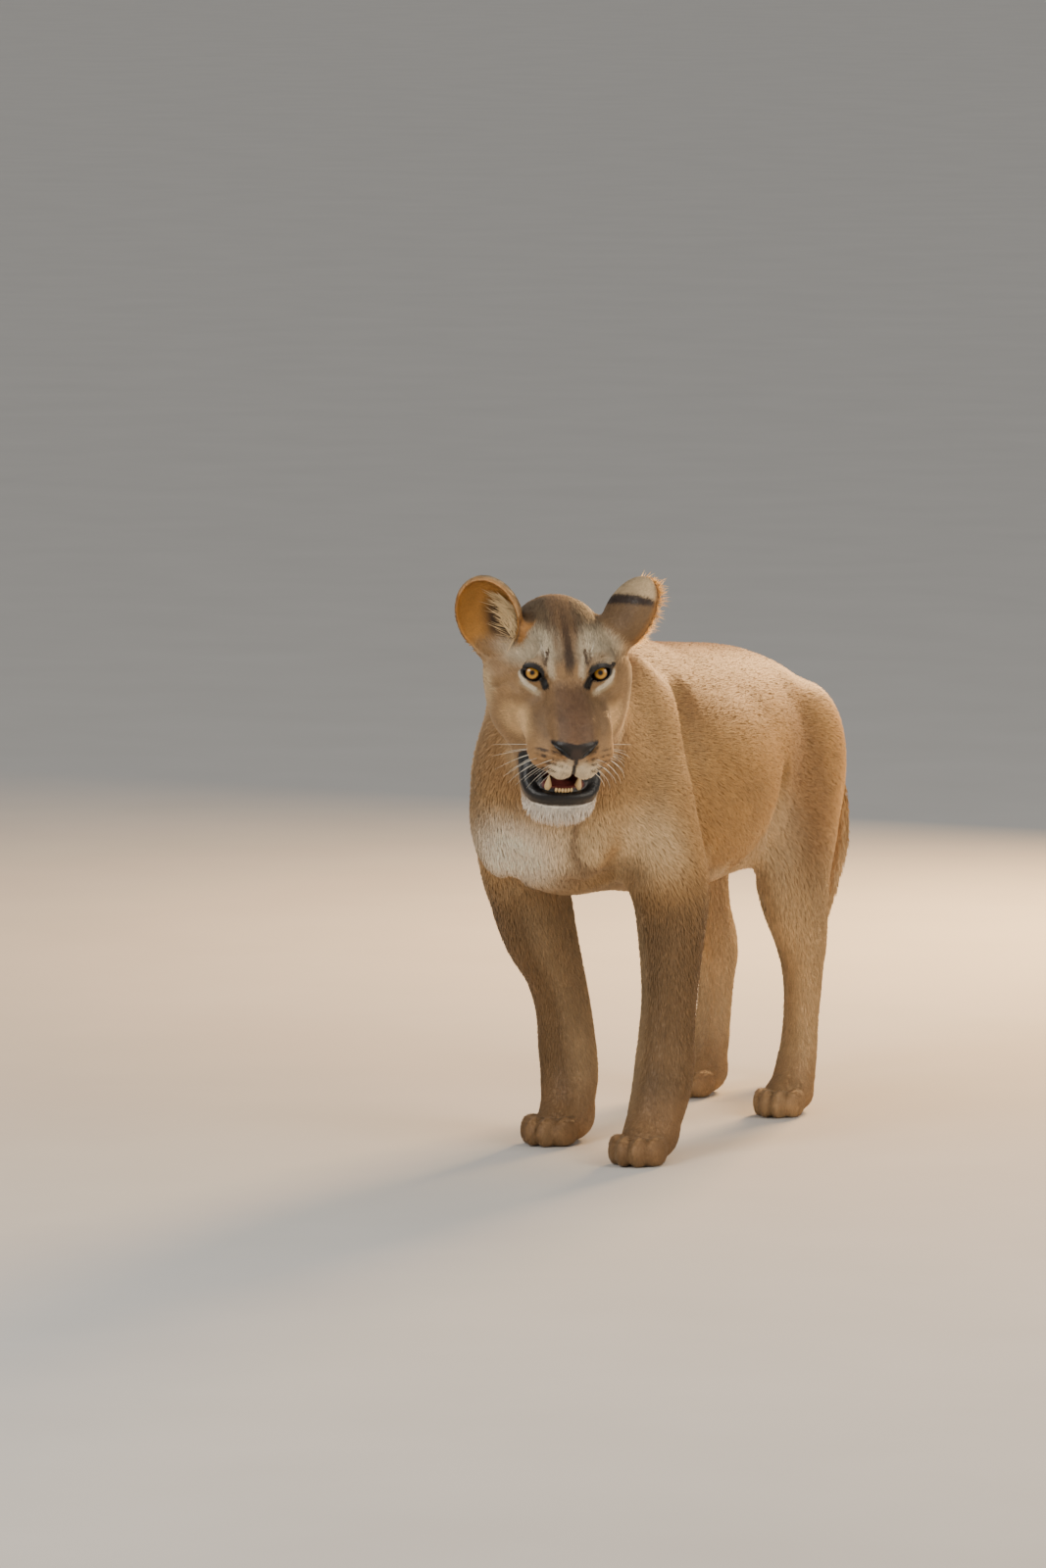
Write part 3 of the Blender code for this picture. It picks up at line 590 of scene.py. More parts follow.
TAWNY, GOLD, GREY_BROWN = srgb(178, 140, 90), srgb(176, 132, 74), srgb(98, 76, 53)
DARK_BROWN, CREAM = srgb(84, 56, 34), srgb(206, 176, 134)
BLACK, LIP_BLACK, GUM = srgb(24, 18, 16), srgb(16, 13, 13), srgb(104, 46, 40)


def spot(q, at, radii, soft=.5):
    """1 inside an ellipsoid, falling to 0 across its edge."""
    k = np.sqrt((((q - at) / radii) ** 2).sum(1))
    return step_up(k, 1 + soft / 2, 1 - soft / 2)


def along(q, points, radius, soft=.6):
    """1 near a chain of points."""
    best = np.full(len(q), 1e9)
    points = np.asarray(points, float)
    for a, b in zip(points, points[1:]):
        t = np.clip((q - a) @ (b - a) / ((b - a) @ (b - a)), 0, 1)
        best = np.minimum(best, np.linalg.norm(q - a - t[:, None] * (b - a), axis=1))
    return step_up(best / radius, 1 + soft / 2, 1 - soft / 2)


def unit(rows, least=0):
    return rows / (np.linalg.norm(rows, axis=-1)[..., None] + least)


def below_eyes(q):
    """How far below the eyes a point of the face shows from straight in front."""
    return -(.824 * q[:, 2] + .566 * q[:, 1])


def tint(colour, new, amount):
    amount = np.clip(amount, 0, 1)[:, None]
    return colour + (new - colour) * amount


def ear_masks(p):
    """For each ear: points in its own frame, 1 where they are on it, and 1 where they are in its cup."""
    found = []
    for at, lean, nod, yaw, size in EARS:
        e = (p - in_head(at)) @ ear_turn(lean, nod, yaw, HEAD_TURN) / size
        on = spot(e, (0, 0, .006), (.070, .054, .080), .2) * step_up(e[:, 2], -.056, -.034)
        outer, inner = (np.abs(np.sqrt(((e - middle) ** 2 / np.square(radii)).sum(1)) - 1)
                        for middle, radii in (EAR_CUP, EAR_HOLLOW))
        found.append((e, on, step_up(outer - inner, -.03, .03)))
    return found


def rim_of(e):
    """1 on the edge of an ear, seen from in front of it, and less inside."""
    return np.sqrt((e[:, 0] / .052) ** 2 + (e[:, 2] / .072) ** 2)


def layered(colour, layers):
    """Colours laid one over another, each as far as its amount says."""
    for new, amount in layers:
        colour = tint(colour, srgb(*new) if isinstance(new, tuple) else new, amount)
    return colour


def coat_colour(p, n):
    """Colour of the coat at points of the skin, from where they are on the animal."""
    q = seen_from_head(p)
    blur = (noise(p, 22, 1) - .5) + .5 * (noise(p, 60, 2) - .5)
    x, y, z = p.T
    legs, front = step_up(z, .50, .36), step_up(-n[:, 1], -.1, .5)
    flecks = step_up(noise(p, 75, 5), .86, .93) * step_up(noise(p, 9, 6), .45, .6)
    sideways, up = np.transpose(FURROW[::-1])
    furrow = np.abs(x - np.interp(z, up, sideways) + .02 * blur)
    c = layered(TAWNY, [
        (GOLD, step_up(z + blur * .06, .80, .62) * .8 * step_up(y, -.05, .2)),
        ((122, 76, 34), step_up(n[:, 2], .10, .80) * step_up(z, .62, .72) * .8),  # back
        (CREAM, step_up(-n[:, 2] + blur * .5, .45, .9) * step_up(z, .36, .44) * step_up(y, -.12, .0) * .8),
        *[(CREAM, spot(p, (s * .120, .470, .470), (.065, .075, .080), 1.0) * .85) for s in (1, -1)],  # groin
        (GREY_BROWN, legs * step_up(y, .30, .20) * .75),
        ((204, 172, 128), legs * step_up(y, .36, .44) * .8),
        *[((124, 90, 56), spot(p, (s * .150, .560, .560), (.09, .085, .17), 1.0) * .6) for s in (1, -1)],
        (CREAM, legs * step_up(n[:, 0] * -np.sign(x), .2, .8) * (.45 + .35 * step_up(y, .3, .4))),
        ((158, 120, 80), step_up(z, .13, .05) * .6),
        ((252, 238, 214), spot(p, (-.020, -.20, .515), (.082, .15, .058), 1.5) * front),  # chest
        ((222, 192, 148), spot(p, (.132, -.10, .515), (.082, .15, .058), 1.5) * front),
        ((190, 152, 106), spot(p, (-.10, -.20, .67), (.08, .16, .10), 1.0) * .7),
        # painted shade: a dark line down the furrow of the breast
        ((106, 76, 48), step_up(furrow, .012 + .034 * step_up(z, .51, .46), .001) * step_up(z, .590, .555)
         * step_up(y, -.06, -.12) * .6),
        ((140, 100, 60), spot(p, (.09, -.27, .66), (.16, .13, .07), 1.0) * .6),  # throat: painted shade under the head
        # painted shade in the armpits
        *[((112, 82, 52), along(p, armpit(s), .022, 1.6) * .3) for s in (1, -1)],
        (DARK_BROWN, flecks * .16 * step_up(z, .5, .6) * (1 - spot(q, (0, 0, -.05), (.2, .25, .2), .3))),
        ((40, 30, 24), spot(p, (-.020, .893, .090), (.05, .05, .075), .4))])  # brush
    c = tint(c, face_colour(q, n @ HEAD_TURN, blur), spot(q, (0, .01, -.06), (.150, .175, .190), .25))
    for e, on, inside in ear_masks(p):
        rim, slanted = rim_of(e), e @ rotation(ry=BAND)
        back = layered(srgb(126, 98, 66), [
            ((200, 174, 136), step_up(slanted[:, 2] + .01 * blur, .020, .030)),
            ((52, 37, 28), spot(slanted, (0, .03, .016), (.08, .05, .0095), .7)),
            ((186, 130, 66), step_up(rim, .90, 1.0) * step_up(e[:, 1], .012, -.004) * .8)])
        cup = layered(srgb(206, 148, 72), [
            # painted shade deep in the hollow of the ear
            ((54, 39, 28), spot(e, (.012, .015, -.020), (.026, .05, .046), 1.0) * .97),
            ((206, 140, 62), step_up(rim, .80, .98))])
        c = tint(c, tint(back, cup, inside), on)
    return np.clip(c * (1 + blur * .22)[:, None], 0, 1)


def face_colour(q, m, blur):
    """Her face, at points q from the midpoint of her eyes, where the skin looks along m."""
    x, y, z = q.T
    side, down = np.abs(x - ASIDE * step_up(y, -.05, -.09)), below_eyes(q)
    front, facing = step_up(-m[:, 1], -.15, .35), step_up(-m[:, 1], .1, .45)
    streak = noise(q * (5, 1, 1), 30, 3) - .5
    mirrored, flat = np.stack([side, y, z], 1), np.stack([side, y * 0, down], 1)
    c = layered(srgb(160, 126, 86), [
        ((94, 79, 58), step_up(down + .010 * streak, .0, -.028)
         * step_up(side + .02 * streak, .090, .045) * .85),
        ((202, 186, 158), spot(flat, (.050, 0, -.038), (.040, 1, .028), 1.0) * .85),
        ((126, 94, 62), step_up(side + .020 * streak, .030, .010) * step_up(down, .0, -.04) * .7),
        ((58, 40, 28), step_up(side + .004 * blur, .009, .003) * step_up(down, .020, -.010)
         * step_up(down, -.125, -.095) * front * .85),
        *[((84, 62, 44), step_up(np.abs(side - edge - .05 * np.maximum(-down - .05, 0)) + .004 * streak,
                                 .005, .001)
           * step_up(down, -.035, -.060) * step_up(down, -.125, -.100) * .45) for edge in (.016, .026)],
        ((112, 86, 58), spot(mirrored, (.048, -.046, -.044), (.030, .050, .028), 1.0) * .75),  # under eyes
        ((104, 76, 52), step_up(side + .016 * streak, .052, .012) * step_up(down, .005, .035)
         * step_up(y, -.02, -.04) * .95),
        # painted shade in the creases along the sides of the bridge of the nose
        ((62, 44, 31), along(mirrored, ((.022, -.030, -.014), (.034, -.066, -.040), (.040, -.100, -.056)),
                             .0075, 1.6) * .55),
        ((116, 84, 58), spot(mirrored, (0, -.100, -.024), (.026, .05, .022), 1.4) * .6),  # end of the bridge
        ((236, 196, 142), spot(mirrored, (.070, -.030, -.074), (.026, .05, .032), 1.0) * .8),  # cheek
        ((206, 180, 140), step_up(side, .098, .112) * step_up(z, .0, -.03)
         * step_up(y, .075, .050) * .7),  # ruff
        ((178, 138, 92), spot(mirrored, (.032, -.100, -.088), (.044, .054, .034), .6) * .9),  # whisker pads
        ((226, 208, 176), step_up(down + .008 * streak, .134, .150) * step_up(side, .048, .032)
         * step_up(y, -.085, -.105) * facing * .9),
        *[((52, 37, 28), whisker_row(row, q, side, streak)) for row in range(4)],
        ((255, 250, 240), spot(mirrored, (0, -.085, -.208), (.066, .075, .042), .5)
         * step_up(z, -.172, -.182)),  # chin
        ((200, 172, 130), step_up(z, -.17, -.23) * step_up(y, -.06, .0) * .6)])
    for s in (1, -1):
        c = eye_marks(c, s, q, streak)
    leather, inside, lip = nose_leather(q), mouth(q), lip_line(q)
    upper = along(mirrored, ((.004, -.138, -.118), (.022, -.128, -.120), (.046, -.092, -.116),
                             (.056, -.050, -.124)), .0050, .5)
    nostril = along(flat, ((.013, 0, .1265), (.020, 0, .1215), (.028, 0, .1180), (.035, 0, .1150)), .0058, .5)
    c = layered(c, [
        ((34, 26, 22), leather),
        # painted shade inside the nostrils
        ((8, 6, 5), nostril * leather),
        # painted highlight on the front of the nose leather
        ((66, 48, 40), spot(q, (ASIDE, -.147, -.058), (.010, .012, .008), 1.0) * leather * .4),
        (GUM, inside),
        (LIP_BLACK, inside * step_up(side, .022, .030)),
        (LIP_BLACK, step_up(-m[:, 2], .15, .5)
         * spot(mirrored, (.044, -.066, -.112), (.026, .062, .022), .5)),
        (LIP_BLACK, np.maximum(lip, upper * step_up(-m[:, 2], -.1, .3))),
        (GUM, along(q, ((-.026, -.076, -.161), (0, -.083, -.164), (.026, -.076, -.161)), .0080, .3)
         * step_up(z, -.169, -.163))])
    return c * (1 + blur * .16 + (noise(q, 160, 4) - .5) * .22 * step_up(side, .12, .08))[:, None]


def whisker_row(row, q, side, streak):
    """1 on the dark dots that a row of whiskers grows from."""
    at = .1345 + row * .0088 - .26 * side
    return (step_up(np.abs(below_eyes(q) - at) + .0030 * streak, .0030, .0008)
            * step_up(side + .030 * streak, .013, .024) * step_up(side, .064, .052)
            * step_up(q[:, 1], -.060, -.080) * (.25 + .65 * step_up(noise(q, 230, 9), .38, .58)))


def eye_marks(c, s, q, streak):
    """The pale and dark marks round one eye, laid over the colours of the face."""
    e = beside_eye(s, q)
    near = step_up(e[:, 1], .012, -.002)
    e[:, 1] = 0

    def line(points, radius, soft, amount=1):
        return along(e, [(x, 0, z) for x, z in points], radius, soft) * near * amount

    return layered(c, [
        ((150, 122, 88), spot(e, (.002, 0, .020), (.024, 1, .008), .8) * near * .7),  # upper lid
        ((214, 196, 166), line(((-.006, .042), (-.0190, .0245), (-.0300, .006)),
                               .0050 + .0040 * streak, 1.6, .75)),
        ((80, 58, 38), line(((-.0115, .038), (-.0155, .018)), .0028, .8, .95)),  # brow
        ((80, 58, 38), line(((-.0045, .036), (-.0085, .022)), .0022, .9, .7)),
        ((204, 186, 152), line(((.008, -.0190), (-.006, -.0235), (-.020, -.0265)), .0050, 1.3, .6)),
        ((236, 222, 196), line(((.0185, -.0050), (.0135, -.0125), (.005, -.0180), (-.005, -.0205),
                                (-.014, -.0225)), .0032 + .0016 * streak, .9, .95)),  # below the eye
        (BLACK * .7, spot(e, (0, 0, .0008), (.0202, 1, .0148), .16) * near),  # lids
        (BLACK * .7, line(((.014, .003), (.0235, .0035)), .0036, .5)),
        (BLACK * .7, line(((-.015, -.002), (-.022, -.006), (-.029, -.014)), .0056, .6))])


def mouth(q):
    """1 on the walls of the mouth."""
    return spot(q, (0, -.038, -.140), (.062, .080, .033), .12) * step_up(q[:, 1], -.118, -.110)


def lip_line(q):
    """1 on the black lower lip."""
    return along(q, LIP_LINE, .0150, .25) * step_up(q[:, 2], -.192, -.186)


def nose_leather(q):
    """1 on the bare leather: wide at the top, narrowing to the furrow of the lip."""
    side, down = np.abs(q[:, 0] - ASIDE), below_eyes(q)
    half = .0034 + .0345 * np.clip((.1385 - down) / .0285, 0, 1) ** .62
    found = (step_up(side - half, .0012, -.0012) * step_up(down + .22 * side, .1125, .1155)
             * step_up(q[:, 1], -.104, -.112))
    return np.maximum(found, along(q, ((ASIDE, -.149, -.074), (ASIDE, -.143, -.106)), .0030, .5))


def bare(q):
    """1 on nose leather, lips and the mouth, where no hair grows."""
    found = step_up(nose_leather(q), .45, .55)
    found = np.maximum(found, step_up(lip_line(q), .75, .9))
    found = np.maximum(found, step_up(mouth(q), .4, .6))
    for s in (1, -1):
        e = beside_eye(s, q)
        found = np.maximum(found, spot(e, (0, -.016, .0005), (.0195, .020, .0142), .1))
    return found


# ---- the lie of the coat ----
def lie_of(p, n, region):
    """Direction in which the coat lies, along the skin."""
    q = seen_from_head(p)
    z = p[:, 2]
    d = np.stack([p[:, 0] * 0, np.ones(len(p)), -.22 - .5 * step_up(z, .70, .50)], 1)
    chest = step_up(p[:, 1], -.10, -.20) * step_up(z, .78, .66)
    d += chest[:, None] * (np.array((0, -.5, -1.6)) + n * .2)
    neck = spot(p, (.09, -.25, .76), (.20, .17, .16), .5)
    d += neck[:, None] * np.array((-.35, .5, -.8))
    leg = step_up(z, .50, .38)
    d = d * (1 - leg)[:, None] + leg[:, None] * np.array((0, .22, -1))
    d = np.where((region == "tail")[:, None], np.array((0, .15, -1.0)), d)
    away = unit(q - (0, -.150, -.050), 1e-6)
    away[:, 2] += .45 * step_up(q[:, 2], -.02, .03) - .25 * step_up(q[:, 2], -.07, -.11)
    under = step_up(q[:, 2], -.160, -.172)
    away = away * (1 - under)[:, None] + under[:, None] * np.array((0, .45, -.9))
    on_head = spot(q, (0, .01, -.06), (.155, .185, .200), .3)
    d = d * (1 - on_head)[:, None] + on_head[:, None] * (away @ HEAD_TURN.T)
    for (e, on, _), (_, lean, nod, yaw, _) in zip(ear_masks(p), EARS):
        turn = ear_turn(lean, nod, yaw, HEAD_TURN)
        outward = unit(np.stack([e[:, 0], e[:, 1] * 0, e[:, 2] + .07], 1), 1e-6)
        d = d * (1 - on)[:, None] + on[:, None] * (outward @ turn.T)
    wave = np.stack([noise(p, 14, 7), noise(p, 14, 8), noise(p, 14, 9)], 1) - .5
    d = unit(d, 1e-6) + wave * .35
    return unit(d - n * (d * n).sum(1)[:, None], 1e-6)


# ---- skin, coat and how they are coloured ----
def array_of(data, name, kind, width):
    values = np.empty(len(data) * width, kind)
    data.foreach_get(name, values)
    return values.reshape(-1, width)


def paint(mesh, colours):
    layer = mesh.color_attributes.new("Coat", "BYTE_COLOR", "POINT")
    rgba = np.ones((len(colours), 4), np.float32)
    rgba[:, :3] = colours
    layer.data.foreach_set("color", rgba.ravel())


def regions_at(p):
    """Name of the part of the body that each point belongs to."""
    groups = {"head": placed(head()), "neck": neck(), "trunk": trunk(), "tail": tail(),
              "ear_right": placed(ear(*EARS[0])[:2]), "ear_left": placed(ear(*EARS[1])[:2])}
    for name, forms in (("foreleg", forelegs()), ("hindleg", hindlegs())):
        groups[name + "_left"] = [f for f in forms if f.box()[1][0] > .05]
        groups[name + "_right"] = [f for f in forms if f.box()[0][0] < -.05]
    nearest = np.argmin([field(forms, p, .03) for forms in groups.values()], axis=0)
    return np.array(list(groups))[nearest]


UNWRAPS = {  # the cylinder that each part is unrolled from: a point of its axis, the axis, the seam's side
    "head": ((.158, -.33, .77), HEAD_TURN @ (0, 1, 0), HEAD_TURN @ (0, 0, -1)),
    "neck": ((.07, -.18, .72), (.35, -.75, .55), (-.2, .6, -1)),
    "trunk": ((0, .3, .60), (0, 1, 0), (0, 0, -1)),
    "tail": ((.02, .90, .40), (0, 0, 1), (0, 1, 0)),
    "foreleg_left": ((.14, .03, .25), (0, 0, 1), (-1, 0, 0)),
    "foreleg_right": ((-.10, .12, .25), (0, 0, 1), (1, 0, 0)),
    "hindleg_left": ((.115, .60, .30), (0, 0, 1), (-1, 0, 0)),
    "hindleg_right": ((-.107, .72, .30), (0, 0, 1), (1, 0, 0)),
    "ear_left": (in_head((.102, .098, .048)), HEAD_TURN @ (.5, .1, .8), HEAD_TURN @ (0, 1, 0)),
    "ear_right": (in_head((-.116, .088, .050)), HEAD_TURN @ (-.4, 0, .9), HEAD_TURN @ (0, 1, 0)),
}


def unwrap(p, region):
    """Places on a sheet unrolled from a cylinder round the part's own axis."""
    at, axis, seam = (np.array(v, float) for v in UNWRAPS[region])
    axis /= np.linalg.norm(axis)
    seam -= axis * (seam @ axis)
    seam /= np.linalg.norm(seam)
    q = p - at
    angle = np.arctan2(q @ np.cross(axis, seam), -(q @ seam)) / math.tau + .5
    height = q @ axis
    height = (height - height.min()) / (np.ptp(height) + 1e-9)
    return .01 + .98 * np.stack([angle, height], 1)


def tuft_sizes(p):
    """Length, width and height of the tip over the skin for tufts rooted at the points."""
    q = seen_from_head(p)
    cover = coat_depth(p)
    long = np.maximum(cover * 2.5 + .0010, .0036)
    wide = long * .095 + .0002
    high = np.maximum(cover * .75, .0008)
    chin = spot(q, (0, -.075, -.212), (.060, .060, .034), .7)
    brush = spot(p, (-.020, .893, .100), (.06, .06, .075), .5)
    elbow = spot(np.abs(p) * (1, 0, 0) + p * (0, 1, 1), (.134, .130, .430), (.05, .050, .10), .8)
    long = long + .010 * chin + .020 * brush + .006 * elbow
    return long, wide, high + .0030 * chin + .004 * brush + .002 * elbow


def tufts(name, root, normal, lie, long, wide, high, colour, region, material):
    """Closed kites of four triangles: root, two sides, tip."""
    count = len(root)
    across = np.cross(normal, lie)
    middle = root + lie * (long * .40)[:, None] + normal * (high * .55)[:, None]
    sides = across * (wide / 2)[:, None]
    tip = root + lie * np.sqrt(np.maximum(long ** 2 - high ** 2, 1e-8))[:, None] + normal * high[:, None]
    points = np.empty((count, 4, 3), np.float32)
    points[:, 0] = root - normal * .0012
    points[:, 1] = middle + sides - normal * .0002
    points[:, 2] = middle - sides - normal * .0002
    points[:, 3] = tip
    faces = np.array(((0, 1, 3), (0, 3, 2), (0, 2, 1), (1, 2, 3)))
    faces = (faces[None] + 4 * np.arange(count)[:, None, None]).reshape(-1, 3)
    points[..., 2] = np.maximum(points[..., 2], HAIR_LOW)
    mesh = bpy.data.meshes.new(name)
    mesh.vertices.add(count * 4)
    mesh.vertices.foreach_set("co", points.ravel())
    mesh.loops.add(len(faces) * 3)
    mesh.loops.foreach_set("vertex_index", faces.ravel().astype(np.int32))
    mesh.polygons.add(len(faces))
    mesh.polygons.foreach_set("loop_start", np.arange(0, len(faces) * 3, 3, dtype=np.int32))
    mesh.update(calc_edges=True)
    # each tuft darker at the root and lighter at the tip: painted shade among the roots and painted light on
    # the tips
    shade = np.array((.78, .98, .98, 1.08))[None, :, None]
    paint(mesh, np.clip(colour[:, None, :] * shade, 0, 1).reshape(-1, 3))
    place = unwrap(root, region)
    patch = np.array(((0, -.0015), (-.0011, 0), (.0011, 0), (0, .0015)))
    at = (place[:, None, :] + patch[None]).reshape(-1, 2)
    layer = mesh.uv_layers.new(name="OFBake")
    layer.data.foreach_set("uv", at[faces.ravel()].astype(np.float32).ravel())
    lean = normal[:, None, :] + np.stack([across * 0, across * .35, across * -.35, lie * .15], 1)
    mesh.polygons.foreach_set("use_smooth", np.ones(len(faces), bool))
    mesh.normals_split_custom_set_from_vertices(unit(lean).reshape(-1, 3).astype(np.float32))
    mesh.materials.append(material)
    obj = linked(name, mesh)
    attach(obj, "root")


def spread_of(points, triangles):
    """Area and middle of each triangle."""
    a, b, c = (points[triangles[:, k]] for k in range(3))
    return np.linalg.norm(np.cross(b - a, c - a), axis=1) / 2, (a + b + c) / 3


def grow_coat(points, normals, triangles, shift, material):
    """Roots spread over the skin by area, closer where the hair is finer, and a piece for each region."""
    area, middle = spread_of(points, triangles)
    long, wide, _ = tuft_sizes(middle)
    q = seen_from_head(middle)
    weight = area / (long * wide) ** .72 * (bare(q) < .5) * (middle[:, 2] > .004)
    chosen = np.sort(random.choice(len(area), TUFTS, p=weight / weight.sum()))
    u, v = random.random((2, TUFTS))
    flip = u + v > 1
    u[flip], v[flip] = 1 - u[flip], 1 - v[flip]
    share = np.stack([1 - u - v, u, v], 1)[..., None]
    corner = triangles[chosen]
    root = (points[corner] * share).sum(1)
    normal = unit((normals[corner] * share).sum(1))
    keep = bare(seen_from_head(root)) < .5
    root, normal = root[keep], normal[keep]
    region = regions_at(root)
    lie = lie_of(root, normal, region)
    long, wide, high = tuft_sizes(root)
    vary = random.normal(size=(3, len(root)))
    turn = vary[0] * .16
    lie = lie * np.cos(turn)[:, None] + np.cross(normal, lie) * np.sin(turn)[:, None]
    long = long * np.clip(1 + vary[1] * .16, .6, 1.5)
    high = high * np.clip(1 + vary[2] * .22, .4, 1.25)
    colour = coat_colour(root, normal) * np.clip(1 + .10 * random.normal(size=(len(root), 1)), .7, 1.3)
    for name in UNWRAPS:
        on = np.flatnonzero(region == name)
        pieces = max(1, math.ceil(len(on) / TUFTS_A_PIECE))
        order = on[np.argsort(root[on, 0] if name in ("head", "trunk") else root[on, 1])]
        for k, part in enumerate(np.array_split(order, pieces)):
            tufts(f"coat_{name}" + (f"_{k + 1}" if pieces > 1 else ""), root[part] - shift, normal[part],
                  lie[part], long[part], wide[part], high[part], colour[part], name, material)
        print("coat", name, len(on), pieces)


def long_hairs(points, normals, triangles, shift, material):
    """Long loose hairs: inside her right ear, along the open edge of the left one."""
    area, middle = spread_of(points, triangles)
    normal = normals[triangles].mean(1)
    for k, (name, (e, on, inside)) in enumerate(zip(("right", "left"), ear_masks(middle))):
        _, lean, nod, yaw, _ = EARS[k]
        turn = ear_turn(lean, nod, yaw, HEAD_TURN)
        if k:
            zone = rim_of(e) > .74
            way, long, stand, count, wide = (.1, -.45, .25), .0165, .40, 5000, .00042
        else:
            zone = (e[:, 0] > .022) & (e[:, 2] < .020)
            way, long, stand, count, wide = (-.80, -.10, .45), .029, .42, 260, .00042
        weight = area * (on > .6) * (inside > .5) * zone
        chosen = random.choice(len(area), count, p=weight / weight.sum())
        lie = np.tile(turn @ way, (count, 1)) + random.normal(size=(count, 3)) * .22
        up = unit(normal[chosen])
        lie = unit(lie - up * (lie * up).sum(1)[:, None])
        length = long * np.clip(1 + .35 * random.normal(size=count), .35, 1.6)
        shade = np.clip(1 + .12 * random.normal(size=(count, 1)), .6, 1.25)
        colour = srgb(*((250, 216, 164) if k else (214, 182, 132))) * shade
        tufts(f"coat_hairs_ear_{name}", middle[chosen] - shift, up, lie, length, np.full(count, wide),
              length * stand, colour, f"ear_{name}", material)


# ---- materials ----
def put(mat, socket, value):
    """Wires the socket where the value is another socket, and sets it otherwise."""
    if isinstance(value, bpy.types.NodeSocket):
        mat.node_tree.links.new(value, socket)
    else:
        socket.default_value = value


def node(mat, kind, sockets=(), **settings):
    made = mat.node_tree.nodes.new("ShaderNode" + kind)
    for key, value in settings.items():
        setattr(made, key, value)
    for key, value in dict(sockets).items():
        put(mat, made.inputs[key], value)
    return made


def material(name, colour=(1, 1, 1), rough=.6, attribute=False, bumps=(), mottle=(), **constants):
    """Colour, or the painted coat, mottled by noises (scale, amount), with bumps (scale, depth)."""
    mat = bpy.data.materials.new(name)
    mat.use_nodes = True
    shader = mat.node_tree.nodes["Principled BSDF"]
    where = node(mat, "TexCoord").outputs["Object"]
    now = node(mat, "Attribute", attribute_name="Coat").outputs["Color"] if attribute else (*colour, 1)
    for scale, amount in mottle:
        grain = node(mat, "TexNoise", {"Scale": scale, "Detail": 3, "Vector": where})
        spread = node(mat, "MapRange", {"From Min": .25, "From Max": .75, "To Min": 1 - amount,
                                        "To Max": 1 + amount, "Value": grain.outputs["Fac"]})
        mix = {"Factor": 1, 6: now, 7: spread.outputs["Result"]}
        now = node(mat, "Mix", mix, data_type="RGBA", blend_type="MULTIPLY").outputs[2]
    put(mat, shader.inputs["Base Color"], now)
    bent = {}
    for scale, deep in bumps:
        grain = node(mat, "TexNoise", {"Scale": scale, "Vector": where})
        bump = node(mat, "Bump", {"Distance": deep, "Strength": 1, "Height": grain.outputs["Fac"], **bent})
        bent = {"Normal": bump.outputs["Normal"]}
    if bent:
        put(mat, shader.inputs["Normal"], bent["Normal"])
    for key, value in {"Roughness": rough, **constants}.items():
        put(mat, shader.inputs[key.replace("_", " ")], value)
    return mat


def wet_where_black(mat, dry):
    """Lips, nose and lids are bare and damp: the blacker the paint, the glossier."""
    grey = node(mat, "RGBToBW", {"Color": node(mat, "Attribute", attribute_name="Coat").outputs["Color"]})
    spread = node(mat, "MapRange", {"From Min": .012, "From Max": .040, "To Min": .40, "To Max": dry,
                                    "Value": grey.outputs["Val"]})
    put(mat, mat.node_tree.nodes["Principled BSDF"].inputs["Roughness"], spread.outputs["Result"])


# ---- eyes, teeth, tongue, whiskers ----
def eyeball(side, shift):
    """Eyeball with a bulging cornea; the iris and pupil are rings about the way she looks."""
    bm = bmesh.new()
    bmesh.ops.create_uvsphere(bm, u_segments=64, v_segments=48, radius=EYE_RADIUS)
    for v in bm.verts:
        out = v.co.normalized()
        v.co += out * .0012 * float(step_up(np.array(out.z), .66, .86))
    name = "eyeball_left" if side > 0 else "eyeball_right"
    mesh = mesh_of(name, bm)
    mesh.shade_smooth()
    obj = linked(name, mesh)
    gaze = Vector(HEAD_TURN @ GAZE)
    obj.matrix_world = gaze.to_track_quat("Z", "Y").to_matrix().to_4x4()
    obj.location = in_head(eye_at(side)) - shift
    return obj


